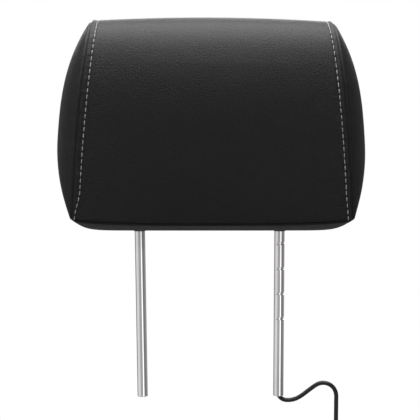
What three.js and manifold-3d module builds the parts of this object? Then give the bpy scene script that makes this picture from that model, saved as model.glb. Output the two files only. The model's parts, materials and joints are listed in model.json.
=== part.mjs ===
// A car headrest: a leather-covered pillow on two steel posts, with a screen set in its rear face.
// Millimetres. Z is up, the head side faces -Y and the screen faces +Y.
// The origin lies on the pillow's centre plane, level with the posts' lower ends and between them.

import * as THREE from 'three';
import { mergeVertices } from 'three/addons/utils/BufferGeometryUtils.js';
import Module from 'manifold-3d';

const wasm = await Module();
wasm.setup();

// Clearances
const touchGap = 0.3;
const slideGap = 0.4;
const pocketGap = 0.6;
const joinDepth = 0.5;

// Posts
const leftPostPlace = 68.9;
const rightPostPlace = 66.1;
const leftPostLean = 0.85;
const postDiameter = 10;
const postBore = 8;
const notchCount = 4;
const firstNotch = 76.6;
const notchPitch = 24.4;
const notchDepth = 0.8;
const notchHeight = 1.8;
const notchSlope = 0.5;
const notchFacing = 36;
const endChamfer = 0.15;
const outwardTravel = 18;
const inwardTravel = 12;

// Pillow
const pillowBottom = 163.4;
const pillowTop = 364.9;
const frontFace = -48;
const rearFace = 60;
const frontCrown = 6;
const topCrown = 4;
const frontTopRadius = 45;
const rearTopRadius = 18;
const seamHalfLow = 130.6;
const seamHalfHigh = 113.5;
const seamCurve = 1.5;
const lowerSeam = 171.8;
const seamCornerRise = 3.5;
const undersideCurve = 16;
const gussetBulge = 22.4;
const gussetCentre = 260.4;
const gussetPowerLow = 2;
const gussetPowerHigh = 2.9;
const coverThickness = 1.4;
const seamGap = 0.2;

// Screen module
const bezelWidth = 226;
const bezelHeight = 148;
const bezelThickness = 4.4;
const bezelRadius = 9;
const bezelOverlap = 4;
const bezelCentre = 264.4;
const sideBorder = 14;
const topBorder = 12.5;
const bottomBorder = 23.5;
const lipThickness = 1.2;
const glassThickness = 1.8;
const panelThickness = 6;
const panelBottomBorder = 7;
const skirtDepth = 12;
const skirtThickness = 2;
const bracketThickness = 1.2;
const moduleScrewInset = 17;
const standoffLength = 6;
const standoffRadius = 3.2;
const boardSideMargin = 28;
const boardEndMargin = 16;
const boardThickness = 1.6;
const boardHoleInset = 5;

// Core tub
const tubFront = -20;
const tubWall = 3;
const chinMargin = 3.6;
const chinBack = 14;
const trimRecess = 0.2;
const trimThickness = 3.2;
const trimBorder = 3;

// Post carriers
const carriageClearance = 10;
const carriageHeight = 26;
const carriageDepth = 17;
const carriageOuter = 8.5;
const carriageInner = 18.5;
const clampOffset = 12.5;
const clampShankRadius = 3;
const clampHeadRadius = 5;
const clampHeadHeight = 4;
const clampNutSize = 12;
const clampNutThickness = 4;
const railEndGap = 6;
const railThickness = 3;
const railMargin = 9;
const railScrewInset = 5;
const bossRadius = 4.3;
const collarTopRadius = 6.6;
const collarLowRadius = 5.75;
const collarHeight = 1.6;
const collarEdge = 0.4;

// Screws
const screwShankRadius = 1.5;
const screwHeadRadius = 3;
const screwHeadHeight = 1.8;
const screwLength = 7;
const smallShankRadius = 1;
const smallHeadRadius = 1.9;
const smallHeadHeight = 1;
const smallScrewLength = 3;

// Buttons
const buttonWidth = 13;
const buttonHeight = 4.6;
const buttonPitch = 18;
const buttonProud = 1.1;
const buttonTravel = 1;
const buttonFlange = 0.8;
const buttonFlangeThickness = 1;
const buttonBoardHalfLength = 66;
const buttonBoardThickness = 1.2;
const buttonBoardBossPlace = 51;
const buttonBoardBossRadius = 2.4;
const windowRadius = 2.4;
const lightRadius = 1.3;
const indicatorPlace = 60;

// Cable
const cableDiameter = 4.2;
const cableSides = 8;
const hankPitch = 4.4;
const hankPasses = 3;
const hankFoldRadius = 12.6;
const hankRun = 64;
const hankTopCentre = -45;
const tieHeight = 8;
const tieThickness = 1;
const tailLength = 9;
const reliefLength = 12;
const reliefRadius = 3;
const plugRadius = 5.5;
const plugLength = 18;
const plugTipRadius = 4.5;
const plugTipLength = 7;
const plugTipRecess = 2.5;

// Free cable route beside the right post's axis, as [across, up].
// It leaves the bore, bends forward to the right, rises, turns over and hangs down.
const cableRoute = [
  [-0.6, 9.5], [-0.6, 4.2], [0.09, 0.76], [2.04, -2.16], [4.96, -4.11], [8.4, -4.8],
  [12.6, -4.6], [16.4, -3.7], [20.1, -2.0], [24.0, 0.5], [28.2, 3.7],
  [32.4, 6.9], [36.5, 9.8], [40.6, 11.7], [45.1, 12.1], [49.5, 10.9],
  [53.2, 8.3], [55.7, 4.6], [56.9, 0.3], [57, -6], [57, -14],
  [57, -24], [57, -34.4],
];

// Derived places
const postRadius = postDiameter / 2;
const boreRadius = postBore / 2;
const cableRadius = cableDiameter / 2;
const pillowDepth = rearFace - frontFace;
const bezelBack = rearFace + touchGap;
const bezelFront = bezelBack + bezelThickness;
const bezelHalfWidth = bezelWidth / 2;
const bezelLow = bezelCentre - bezelHeight / 2;
const bezelHigh = bezelCentre + bezelHeight / 2;
const tubHalfWidth = bezelHalfWidth - bezelOverlap;
const tubLow = bezelLow + bezelOverlap;
const tubHigh = bezelHigh - bezelOverlap;
const tubBack = bezelBack - touchGap;
const cavityHalfWidth = tubHalfWidth - tubWall;
const cavityLow = tubLow + tubWall;
const cavityHigh = tubHigh - tubWall;
const cavityFront = tubFront + tubWall;
const carriageBottom = cavityLow + carriageClearance;
const carriageTop = carriageBottom + carriageHeight;
const postTop = carriageTop;
const skirtHalfWidth = cavityHalfWidth - touchGap;
const skirtLow = cavityLow + touchGap;
const skirtHigh = cavityHigh - touchGap;
const skirtEnd = bezelBack - skirtDepth;
const moduleHalfWidth = skirtHalfWidth - skirtThickness;
const moduleLow = skirtLow + skirtThickness;
const moduleHigh = skirtHigh - skirtThickness;
const activeWidth = bezelWidth - 2 * sideBorder;
const activeHeight = bezelHeight - topBorder - bottomBorder;
const activeHigh = bezelHigh - topBorder;
const activeLow = activeHigh - activeHeight;
const panelHalfWidth = moduleHalfWidth - touchGap;
const panelLow = activeLow - panelBottomBorder;
const panelHigh = moduleHigh - touchGap;
const glassFront = bezelFront - lipThickness - touchGap;
const glassBack = glassFront - glassThickness;
const panelFront = glassBack - touchGap;
const panelBack = panelFront - panelThickness;
const bracketBack = panelBack - touchGap;
const bracketFront = bracketBack - bracketThickness;
const boardBack = bracketFront - standoffLength - touchGap;
const boardFront = boardBack - boardThickness;
const trimFace = pillowBottom + trimRecess;
const trimTop = trimFace + trimThickness;
const chinBottom = trimTop + touchGap;
const trimReach = postRadius + slideGap + trimBorder;
const chinHalfWidth = Math.max(leftPostPlace, rightPostPlace) + outwardTravel + trimReach + chinMargin;
const collarTop = trimFace - touchGap;
const carriageHalfDepth = carriageDepth / 2;
const railHalfLength = cavityHalfWidth - railEndGap;
const railBack = -carriageHalfDepth - slideGap;
const railFront = railBack - railThickness;
const railLow = carriageBottom - railMargin;
const railHigh = carriageTop + railMargin;
const clampHeight = carriageBottom + carriageHeight / 2;
const buttonRow = (moduleLow + panelLow) / 2;
const buttonFlangeBack = bezelBack - touchGap - buttonFlangeThickness;
const buttonBoardBack = buttonFlangeBack - buttonTravel - touchGap;
const hankLowCentre = hankTopCentre - hankRun;
const [leadOffset, leadStart] = cableRoute[0];
const leadFoot = leadStart + touchGap;
const hankRight = cableRoute.at(-1)[0];
const hankCentre = hankRight - hankFoldRadius;
const hankRadius = hankFoldRadius + cableRadius;
const hankBack = (hankPasses - 1) * hankPitch;
const runEdge = Math.sqrt(hankRadius ** 2 - (hankFoldRadius - cableRadius) ** 2);
const tailTop = hankLowCentre - runEdge - touchGap;
const plugTop = tailTop - tailLength - touchGap;

// Smoothness
const roundSides = 20;
const screwSides = 10;
const arcSteps = 2;
const weldDistance = 1e-4;

const headrest = new THREE.Group();

// Adds one named sub-part with its own material, to the headrest or to a group inside it.
function addPart(name, geometry, colour, roughness, metalness, group = headrest) {
  const faceted = geometry.index ? geometry.toNonIndexed() : geometry;
  faceted.computeVertexNormals();
  const material = new THREE.MeshStandardMaterial({ color: colour, roughness, metalness });
  const mesh = new THREE.Mesh(faceted, material);
  mesh.name = name;
  group.add(mesh);
}

// Welds a geometry to shared corners and drops triangles that have no area.
function weld(geometry) {
  const bare = geometry.clone();
  bare.deleteAttribute('normal');
  bare.deleteAttribute('uv');
  const welded = mergeVertices(bare, weldDistance);
  const corners = welded.index.array;
  const kept = [];
  for (let i = 0; i < corners.length; i += 3) {
    const [a, b, c] = [corners[i], corners[i + 1], corners[i + 2]];
    if (a !== b && b !== c && c !== a) kept.push(a, b, c);
  }
  welded.setIndex(kept);
  return welded;
}

function solidOf(geometry) {
  const welded = weld(geometry);
  return new wasm.Manifold(new wasm.Mesh({
    numProp: 3,
    vertProperties: new Float32Array(welded.attributes.position.array),
    triVerts: new Uint32Array(welded.index.array),
  }));
}

function geometryOf(solid) {
  const mesh = solid.getMesh();
  const geometry = new THREE.BufferGeometry();
  geometry.setAttribute('position', new THREE.BufferAttribute(mesh.vertProperties, 3));
  geometry.setIndex(new THREE.BufferAttribute(mesh.triVerts, 1));
  return geometry;
}

function join(...geometries) {
  return geometryOf(geometries.map(solidOf).reduce((whole, piece) => whole.add(piece)));
}

function cut(geometry, ...tools) {
  return geometryOf(tools.map(solidOf).reduce((rest, tool) => rest.subtract(tool), solidOf(geometry)));
}

function block(x0, x1, y0, y1, z0, z1) {
  const geometry = new THREE.BoxGeometry(x1 - x0, y1 - y0, z1 - z0);
  return geometry.translate((x0 + x1) / 2, (y0 + y1) / 2, (z0 + z1) / 2);
}

// A rectangle with round corners, centred at a point of its plane.
function roundedOutline(width, height, radius, u, v, Kind = THREE.Shape) {
  const outline = new Kind();
  const across = width / 2 - radius;
  const up = height / 2 - radius;
  outline.absarc(u + across, v + up, radius, 0, Math.PI / 2);
  outline.absarc(u - across, v + up, radius, Math.PI / 2, Math.PI);
  outline.absarc(u - across, v - up, radius, Math.PI, 1.5 * Math.PI);
  outline.absarc(u + across, v - up, radius, 1.5 * Math.PI, 2 * Math.PI);
  outline.closePath();
  return outline;
}

function roundedHole(width, height, radius, u, v) {
  return roundedOutline(width, height, radius, u, v, THREE.Path);
}

function roundHole(radius, u, v, sides = screwSides) {
  const points = Array.from({ length: sides }, (_, i) => {
    const angle = 2 * Math.PI * i / sides;
    return new THREE.Vector2(u + radius * Math.cos(angle), v + radius * Math.sin(angle));
  });
  return new THREE.Path(points);
}

// A flat plate standing in the XZ plane, from y0 to y1.
function wallPlate(outline, holes, y0, y1) {
  outline.holes.push(...holes);
  const options = { depth: y1 - y0, bevelEnabled: false, curveSegments: arcSteps };
  return new THREE.ExtrudeGeometry(outline, options).rotateX(Math.PI / 2).translate(0, y1, 0);
}

// A flat plate lying in the XY plane, from z0 to z1.
function floorPlate(outline, holes, z0, z1) {
  outline.holes.push(...holes);
  const options = { depth: z1 - z0, bevelEnabled: false, curveSegments: arcSteps };
  return new THREE.ExtrudeGeometry(outline, options).translate(0, 0, z0);
}

// A turned solid about the Z axis; its profile runs upwards on the outside, as [radius, z].
function turned(profile, sides) {
  const points = profile.map(([radius, z]) => new THREE.Vector2(radius, z));
  return weld(new THREE.LatheGeometry(points, sides).rotateX(Math.PI / 2));
}

function rodAlongY(radius, y0, y1, x, z, sides = screwSides) {
  const geometry = new THREE.CylinderGeometry(radius, radius, y1 - y0, sides);
  return geometry.translate(x, (y0 + y1) / 2, z);
}

// A pan-head screw along -Z with the underside of its head at the origin.
function panScrew(shankRadius, length, headRadius, headHeight, sides = screwSides) {
  const profile = [
    [0, -length], [shankRadius, -length], [shankRadius, 0],
    [headRadius, 0], [headRadius, headHeight * 0.6], [headRadius * 0.7, headHeight], [0, headHeight],
  ];
  return turned(profile, sides);
}

// Pillow surface

function mix(a, b, t) {
  return a + (b - a) * t;
}

function seamHalfWidth(z) {
  const share = Math.max(0, (z - lowerSeam) / (pillowTop - lowerSeam));
  return mix(seamHalfLow, seamHalfHigh, share ** seamCurve);
}

// The pillow's side profile as a closed loop: up the front, over the top, down the rear
// and forward along the bottom. Each stop has its place, its outward normal and its crown.
function profileLoop() {
  const frontSteps = 6;
  const frontArcSteps = 7;
  const topSteps = 2;
  const rearArcSteps = 4;
  const rearSteps = 5;
  const bottomSteps = 8;
  const frontArcStart = pillowTop - frontTopRadius;
  const rearArcStart = pillowTop - rearTopRadius;
  const stops = [];
  for (let i = 0; i < frontSteps; i += 1) {
    const t = i / frontSteps;
    const crown = frontCrown * Math.sin(t * Math.PI / 2) ** 0.7;
    stops.push({ part: 'front', y: frontFace, z: mix(lowerSeam, frontArcStart, t), ny: -1, nz: 0, crown });
  }
  for (let i = 0; i < frontArcSteps; i += 1) {
    const t = i / frontArcSteps;
    const angle = t * Math.PI / 2;
    const [ny, nz] = [-Math.cos(angle), Math.sin(angle)];
    const y = frontFace + frontTopRadius + ny * frontTopRadius;
    const z = frontArcStart + nz * frontTopRadius;
    stops.push({ part: 'front', y, z, ny, nz, crown: mix(frontCrown, topCrown, t) });
  }
  for (let i = 0; i < topSteps; i += 1) {
    const y = mix(frontFace + frontTopRadius, rearFace - rearTopRadius, i / topSteps);
    stops.push({ part: 'front', y, z: pillowTop, ny: 0, nz: 1, crown: topCrown });
  }
  for (let i = 0; i < rearArcSteps; i += 1) {
    const t = i / rearArcSteps;
    const angle = t * Math.PI / 2;
    const [ny, nz] = [Math.sin(angle), Math.cos(angle)];
    const y = rearFace - rearTopRadius + ny * rearTopRadius;
    const z = rearArcStart + nz * rearTopRadius;
    stops.push({ part: 'front', y, z, ny, nz, crown: mix(topCrown, 0, t) });
  }
  for (let i = 0; i < rearSteps; i += 1) {
    const z = mix(rearArcStart, lowerSeam, i / rearSteps);
    stops.push({ part: 'rear', y: rearFace, z, ny: 1, nz: 0, crown: 0 });
  }
  for (let i = 0; i < bottomSteps; i += 1) {
    const y = mix(rearFace, frontFace, i / bottomSteps);
    stops.push({ part: 'bottom', y, z: lowerSeam, ny: 0, nz: -1, crown: 0 });
  }
  return stops;
}

// A point of the centre band; across runs from -1 at the left seam to 1 at the right.
function bandPoint(stop, across) {
  const side = Math.abs(across);
  const lift = seamCornerRise * side ** 3;
  const swell = stop.crown * (1 - across ** 2);
  const middle = (frontFace + rearFace) / 2;
  const reach = (rearFace - frontFace) / 2;
  let { y, z } = stop;
  if (stop.part === 'bottom') {
    const hollow = 1 - Math.abs((y - middle) / reach) ** 4;
    const lowLevel = pillowBottom + (lowerSeam + seamCornerRise - pillowBottom) * side ** undersideCurve;
    z = mix(lowerSeam + lift, lowLevel, hollow);
  } else {
    z += lift * Math.max(0, 1 - (z - lowerSeam) / (pillowTop - lowerSeam)) ** 2;
    y += stop.ny * swell;
    z += stop.nz * (swell - topCrown);
  }
  return new THREE.Vector3(across * seamHalfWidth(z), y, z);
}

const loop = profileLoop();
const bandStations = [-1, -0.92, -0.8, -0.6, -0.3, 0, 0.3, 0.6, 0.8, 0.92, 1];
const gussetRings = [0, 0.4, 0.66, 0.85, 0.95];

// A point of a side gusset, on the ray from its centre to one stop of the seam.
function gussetPoint(seamPoint, share, sideSign) {
  const middle = (frontFace + rearFace) / 2;
  const y = mix(middle, seamPoint.y, share);
  const z = mix(gussetCentre, seamPoint.z, share);
  const upward = (seamPoint.z - gussetCentre) / (pillowTop - gussetCentre);
  const power = mix(gussetPowerLow, gussetPowerHigh, THREE.MathUtils.clamp((upward + 1) / 2, 0, 1));
  const bulge = gussetBulge * (1 - share ** power);
  return new THREE.Vector3(sideSign * (seamHalfWidth(z) + bulge), y, z);
}

// All points of the pillow's skin, with the triangles that close it.
function pillowSkin() {
  const points = [];
  const corners = [];
  const keep = (point) => points.push(point) - 1;
  const band = loop.map((stop) => bandStations.map((across) => keep(bandPoint(stop, across))));
  const count = loop.length;
  const last = bandStations.length - 1;
  for (let i = 0; i < count; i += 1) {
    const here = band[i];
    const next = band[(i + 1) % count];
    for (let j = 0; j < last; j += 1) {
      corners.push(here[j], here[j + 1], next[j + 1], here[j], next[j + 1], next[j]);
    }
  }
  const gusset = (sideSign, column) => {
    const rings = gussetRings.map((share) => (share === 0
      ? [keep(gussetPoint(points[band[0][column]], 0, sideSign))]
      : band.map((row) => keep(gussetPoint(points[row[column]], share, sideSign)))));
    rings.push(band.map((row) => row[column]));
    const flip = sideSign < 0;
    const triangle = (a, b, c) => (flip ? corners.push(a, c, b) : corners.push(a, b, c));
    for (let k = 0; k + 1 < rings.length; k += 1) {
      for (let i = 0; i < count; i += 1) {
        const after = (i + 1) % count;
        if (k === 0) {
          triangle(rings[0][0], rings[1][after], rings[1][i]);
        } else {
          triangle(rings[k][i], rings[k + 1][after], rings[k + 1][i]);
          triangle(rings[k][i], rings[k][after], rings[k + 1][after]);
        }
      }
    }
    return rings;
  };
  const left = gusset(-1, 0);
  const right = gusset(1, last);
  const geometry = new THREE.BufferGeometry().setFromPoints(points);
  geometry.setIndex(corners);
  geometry.computeVertexNormals();
  const { normal } = geometry.attributes;
  const normals = points.map((_, i) => new THREE.Vector3().fromBufferAttribute(normal, i));
  return { points, normals, corners, band, left, right };
}

const skin = pillowSkin();

function skinPoint(id, depth) {
  return skin.points[id].clone().addScaledVector(skin.normals[id], -depth);
}

// A leather panel of even thickness over a grid of skin points; its rim stays clear of the next panel.
function panelFromGrid(grid) {
  const rows = grid.length;
  const columns = grid[0].length;
  const points = [];
  const layer = (depth) => {
    const start = points.length;
    const raw = grid.map((row) => row.map((id) => skinPoint(id, depth)));
    for (let i = 0; i < rows; i += 1) {
      for (let j = 0; j < columns; j += 1) {
        const point = raw[i][j].clone();
        const inner = (at, end) => (at === 0 ? 1 : (at === end - 1 ? end - 2 : at));
        const [a, b] = [inner(i, rows), inner(j, columns)];
        if (a !== i) point.add(raw[a][j].clone().sub(raw[i][j]).setLength(seamGap));
        if (b !== j) point.add(raw[i][b].clone().sub(raw[i][j]).setLength(seamGap));
        points.push(point);
      }
    }
    return start;
  };
  const outer = layer(0);
  const inner = layer(coverThickness);
  const corners = [];
  const at = (start, i, j) => start + i * columns + j;
  for (let i = 0; i + 1 < rows; i += 1) {
    for (let j = 0; j + 1 < columns; j += 1) {
      const [a, b, c, d] = [at(0, i, j), at(0, i, j + 1), at(0, i + 1, j + 1), at(0, i + 1, j)];
      corners.push(outer + a, outer + b, outer + c, outer + a, outer + c, outer + d);
      corners.push(inner + a, inner + c, inner + b, inner + a, inner + d, inner + c);
    }
  }
  const rim = [];
  for (let j = 0; j + 1 < columns; j += 1) rim.push(at(0, 0, j));
  for (let i = 0; i + 1 < rows; i += 1) rim.push(at(0, i, columns - 1));
  for (let j = columns - 1; j > 0; j -= 1) rim.push(at(0, rows - 1, j));
  for (let i = rows - 1; i > 0; i -= 1) rim.push(at(0, i, 0));
  rim.forEach((here, k) => {
    const next = rim[(k + 1) % rim.length];
    corners.push(outer + here, inner + here, inner + next, outer + here, inner + next, outer + next);
  });
  const geometry = new THREE.BufferGeometry().setFromPoints(points);
  geometry.setIndex(corners);
  return geometry;
}

// A leather side gusset over rings of skin points that share one centre.
function panelFromRings(rings, sideSign) {
  const count = rings[1].length;
  const points = [];
  const layer = (depth) => {
    const start = points.length;
    rings.forEach((ring, k) => ring.forEach((id, i) => {
      const point = skinPoint(id, depth);
      if (k === rings.length - 1) {
        const before = skinPoint(rings[k - 1][i], depth);
        point.add(before.sub(point).setLength(seamGap));
      }
      points.push(point);
    }));
    return start;
  };
  const outer = layer(0);
  const inner = layer(coverThickness);
  const at = (k, i) => (k === 0 ? 0 : 1 + (k - 1) * count + (i % count));
  const corners = [];
  const triangle = (a, b, c) => (sideSign < 0 ? corners.push(a, c, b) : corners.push(a, b, c));
  const face = (a, b, c) => {
    triangle(outer + a, outer + b, outer + c);
    triangle(inner + a, inner + c, inner + b);
  };
  const edge = rings.length - 1;
  for (let i = 0; i < count; i += 1) {
    face(at(0, 0), at(1, i + 1), at(1, i));
    for (let k = 1; k < edge; k += 1) {
      face(at(k, i), at(k + 1, i + 1), at(k + 1, i));
      face(at(k, i), at(k, i + 1), at(k + 1, i + 1));
    }
    const [here, next] = [at(edge, i), at(edge, i + 1)];
    triangle(outer + here, outer + next, inner + next);
    triangle(outer + here, inner + next, inner + here);
  }
  const geometry = new THREE.BufferGeometry().setFromPoints(points);
  geometry.setIndex(corners);
  return geometry;
}

function postPlaceOn(sideSign) {
  return sideSign < 0 ? leftPostPlace : rightPostPlace;
}

// How far outwards a leaning post's axis has moved at one height.
function leanShift(sideSign, z) {
  return sideSign < 0 ? (z - pillowBottom) * Math.tan(THREE.MathUtils.degToRad(leftPostLean)) : 0;
}

// The outline, seen from above, that a post or its trim needs over the post's whole travel.
function travelOutline(sideSign, margin, Kind) {
  const length = outwardTravel + inwardTravel + 2 * margin;
  const centre = sideSign * (postPlaceOn(sideSign) + (outwardTravel - inwardTravel) / 2);
  return roundedOutline(length, 2 * margin, margin, centre, 0, Kind);
}

function buildCovers() {
  const rowsOf = (from, to) => skin.band.slice(from, to + 1);
  const rearStart = loop.findIndex((stop) => stop.part === 'rear');
  const bottomStart = loop.findIndex((stop) => stop.part === 'bottom');
  const front = panelFromGrid(rowsOf(0, rearStart));
  const rear = panelFromGrid(rowsOf(rearStart, bottomStart));
  const bottom = panelFromGrid([...rowsOf(bottomStart, loop.length - 1), skin.band[0]]);
  const window = block(
    -tubHalfWidth - pocketGap, tubHalfWidth + pocketGap,
    rearFace - 2 * pillowDepth, rearFace + 2 * pillowDepth,
    tubLow - pocketGap, tubHigh + pocketGap,
  );
  const slots = [-1, 1].map((side) => floorPlate(
    travelOutline(side, trimReach + touchGap), [], pillowBottom - trimThickness, chinBottom,
  ));
  addPart('front_cover', front, 0x1c1c1e, 0.5, 0);
  addPart('rear_cover', cut(rear, window), 0x1c1c1e, 0.5, 0);
  addPart('bottom_cover', cut(bottom, ...slots), 0x1c1c1e, 0.5, 0);
  addPart('left_gusset', panelFromRings(skin.left, -1), 0x1e1e20, 0.5, 0);
  addPart('right_gusset', panelFromRings(skin.right, 1), 0x1e1e20, 0.5, 0);
}

function buildFoam() {
  const depth = coverThickness + touchGap;
  const geometry = new THREE.BufferGeometry().setFromPoints(skin.points.map((_, id) => skinPoint(id, depth)));
  geometry.setIndex(skin.corners);
  const beyond = pillowDepth;
  const pocket = block(
    -tubHalfWidth - pocketGap, tubHalfWidth + pocketGap,
    tubFront - pocketGap, rearFace + beyond,
    tubLow - pocketGap, tubHigh + pocketGap,
  );
  const chin = block(
    -chinHalfWidth - pocketGap, chinHalfWidth + pocketGap,
    tubFront - pocketGap, chinBack + pocketGap,
    pillowBottom - beyond, tubLow + joinDepth,
  );
  addPart('foam_pad', cut(geometry, pocket, chin), 0x8f8b80, 0.95, 0);
}

// Core tub

const railScrewPlaces = [-1, 1].flatMap((side) => [railLow + railScrewInset, railHigh - railScrewInset]
  .map((z) => [side * (railHalfLength - railScrewInset), z]));

const moduleScrewPlaces = [-1, 1].flatMap((side) => [tubHigh - moduleScrewInset, tubLow + moduleScrewInset]
  .map((z) => [side, z]));

const moduleScrewDepth = (skirtEnd + bracketFront) / 2;

// A countersunk screw along X, its head flush with the tub's side wall.
function moduleScrew(side, z) {
  const tip = moduleHalfWidth + touchGap;
  const profile = [
    [0, tip], [screwShankRadius, tip], [screwShankRadius, tubHalfWidth - tubWall / 2],
    [screwHeadRadius, tubHalfWidth], [0, tubHalfWidth],
  ];
  const screw = turned(profile, screwSides);
  return screw.rotateY(side * Math.PI / 2).translate(0, moduleScrewDepth, z);
}

function buildTub() {
  const shell = join(
    block(-tubHalfWidth, tubHalfWidth, tubFront, tubBack, tubLow, tubHigh),
    block(-chinHalfWidth, chinHalfWidth, tubFront, chinBack, chinBottom, tubLow + joinDepth),
  );
  const hollow = block(
    -cavityHalfWidth, cavityHalfWidth, cavityFront, tubBack + tubWall, cavityLow, cavityHigh,
  );
  const chinHollow = block(
    -chinHalfWidth + tubWall, chinHalfWidth - tubWall,
    cavityFront, chinBack - tubWall,
    chinBottom + tubWall, cavityLow + joinDepth,
  );
  const postSlots = [-1, 1].map((side) => floorPlate(
    travelOutline(side, postRadius + slideGap), [], chinBottom - tubWall, chinBottom + 2 * tubWall,
  ));
  const bosses = railScrewPlaces.map(([x, z]) => rodAlongY(
    bossRadius, cavityFront - joinDepth, railFront - touchGap, x, z,
  ));
  const bossHoles = railScrewPlaces.map(([x, z]) => rodAlongY(
    screwShankRadius + touchGap, railBack - screwLength - touchGap, railFront, x, z,
  ));
  const sideHoles = moduleScrewPlaces.map(([side, z]) => sideHole(side, z));
  const open = cut(shell, hollow, chinHollow, ...postSlots, ...sideHoles);
  addPart('core_tub', cut(join(open, ...bosses), ...bossHoles), 0x26272a, 0.6, 0);
}

// The countersunk hole that a module screw passes through.
function sideHole(side, z) {
  const headDepth = tubWall / 2;
  const shank = screwShankRadius + touchGap;
  const slope = (screwHeadRadius - screwShankRadius) / headDepth;
  const outer = tubHalfWidth + 1;
  const profile = [
    [0, moduleHalfWidth - skirtThickness], [shank, moduleHalfWidth - skirtThickness],
    [shank, tubHalfWidth - headDepth], [screwHeadRadius + touchGap + slope, outer], [0, outer],
  ];
  return turned(profile, screwSides).rotateY(side * Math.PI / 2).translate(0, moduleScrewDepth, z);
}

function buildModuleScrews() {
  moduleScrewPlaces.forEach(([side, z], i) => {
    addPart(`module_screw_${i + 1}`, moduleScrew(side, z), 0x8c8d90, 0.35, 1);
  });
}

function buildRail() {
  const slotLength = outwardTravel + inwardTravel + 2 * (clampShankRadius + slideGap);
  const slots = [-1, 1].map((side) => {
    const clampPlace = postPlaceOn(side) + leanShift(side, clampHeight) - clampOffset;
    return roundedHole(
      slotLength, 2 * (clampShankRadius + slideGap), clampShankRadius + slideGap,
      side * (clampPlace + (outwardTravel - inwardTravel) / 2), clampHeight,
    );
  });
  const holes = railScrewPlaces.map(([x, z]) => roundHole(screwShankRadius + touchGap, x, z));
  const outline = roundedOutline(2 * railHalfLength, railHigh - railLow, 3, 0, (railLow + railHigh) / 2);
  addPart('post_rail', wallPlate(outline, [...slots, ...holes], railFront, railBack), 0x9a9c9f, 0.4, 1);
  railScrewPlaces.forEach(([x, z], i) => {
    const screw = panScrew(screwShankRadius, screwLength, screwHeadRadius, screwHeadHeight);
    screw.rotateX(-Math.PI / 2).translate(x, railBack + touchGap, z);
    addPart(`rail_screw_${i + 1}`, screw, 0x8c8d90, 0.35, 1);
  });
}

// Posts and what slides with them

function postTube() {
  return turned([
    [boreRadius, 0], [postRadius - endChamfer, 0], [postRadius, endChamfer],
    [postRadius, postTop], [boreRadius, postTop], [boreRadius, 0],
  ], roundSides);
}

// What a notch takes away: a ring beside the post's axis, so that the notch is deepest where it faces
// the front right and runs out on the other side.
function notchRing(z) {
  const flare = notchSlope * (notchDepth + touchGap) / notchDepth;
  const outer = postRadius + notchDepth + touchGap;
  const ring = turned([
    [postRadius, z - notchHeight / 2], [outer, z - notchHeight / 2 - flare],
    [outer, z + notchHeight / 2 + flare], [postRadius, z + notchHeight / 2],
    [postRadius, z - notchHeight / 2],
  ], roundSides);
  const facing = THREE.MathUtils.degToRad(notchFacing);
  return ring.translate(-notchDepth * Math.sin(facing), notchDepth * Math.cos(facing), 0);
}

// Everything that slides with one post, round the post's axis at x = 0. The set stands at its
// place on the rail and leans about the point where the post enters the pillow.
function buildPost(side, label) {
  const set = new THREE.Group();
  const pivot = new THREE.Group();
  pivot.position.set(side * postPlaceOn(side), 0, pillowBottom);
  pivot.rotation.y = side < 0 ? -THREE.MathUtils.degToRad(leftPostLean) : 0;
  set.position.z = -pillowBottom;
  pivot.add(set);
  headrest.add(pivot);
  const inward = -side;
  const notches = Array.from({ length: side > 0 ? notchCount : 0 }, (_, i) => firstNotch + i * notchPitch);
  addPart(`${label}_post`, cut(postTube(), ...notches.map(notchRing)), 0xc3c3c4, 0.22, 1, set);

  const clampX = inward * clampOffset;
  const [low, high] = [-inward * carriageOuter, inward * carriageInner].sort((a, b) => a - b);
  const outline = roundedOutline(high - low, carriageDepth, 2, (low + high) / 2, 0);
  const bore = roundHole(postRadius + touchGap, 0, 0, roundSides);
  const carriage = cut(
    floorPlate(outline, [bore], carriageBottom, carriageTop),
    rodAlongY(clampShankRadius + touchGap, -carriageDepth, carriageDepth, clampX, clampHeight),
  );
  addPart(`${label}_carriage`, carriage, 0x6e7073, 0.45, 1, set);

  const nutTop = railFront - touchGap;
  const nutLow = nutTop - clampNutThickness;
  const nut = wallPlate(
    roundedOutline(clampNutSize, clampNutSize, 1, clampX, clampHeight),
    [roundHole(clampShankRadius + touchGap, clampX, clampHeight)], nutLow, nutTop,
  );
  addPart(`${label}_clamp_nut`, nut, 0x7c7e81, 0.4, 1, set);

  const headSeat = carriageHalfDepth + touchGap;
  const screw = panScrew(clampShankRadius, headSeat - nutLow - touchGap, clampHeadRadius, clampHeadHeight);
  screw.rotateX(-Math.PI / 2).translate(clampX, headSeat, clampHeight);
  addPart(`${label}_clamp_screw`, screw, 0x8c8d90, 0.35, 1, set);

  const collarBore = postRadius + touchGap;
  const collarLow = collarTop - collarHeight;
  const collar = turned([
    [collarBore, collarLow], [collarLowRadius, collarLow],
    [collarTopRadius, collarTop - collarEdge], [collarTopRadius, collarTop],
    [collarBore, collarTop], [collarBore, collarLow],
  ], roundSides);
  addPart(`${label}_collar`, collar, 0x17181a, 0.6, 0, set);

  const slot = travelOutline(side, postRadius + slideGap, THREE.Path);
  const trim = floorPlate(travelOutline(side, trimReach), [slot], trimFace, trimTop);
  addPart(`${label}_slot_trim`, trim, 0x17181a, 0.6, 0);
}

// Screen module

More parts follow.
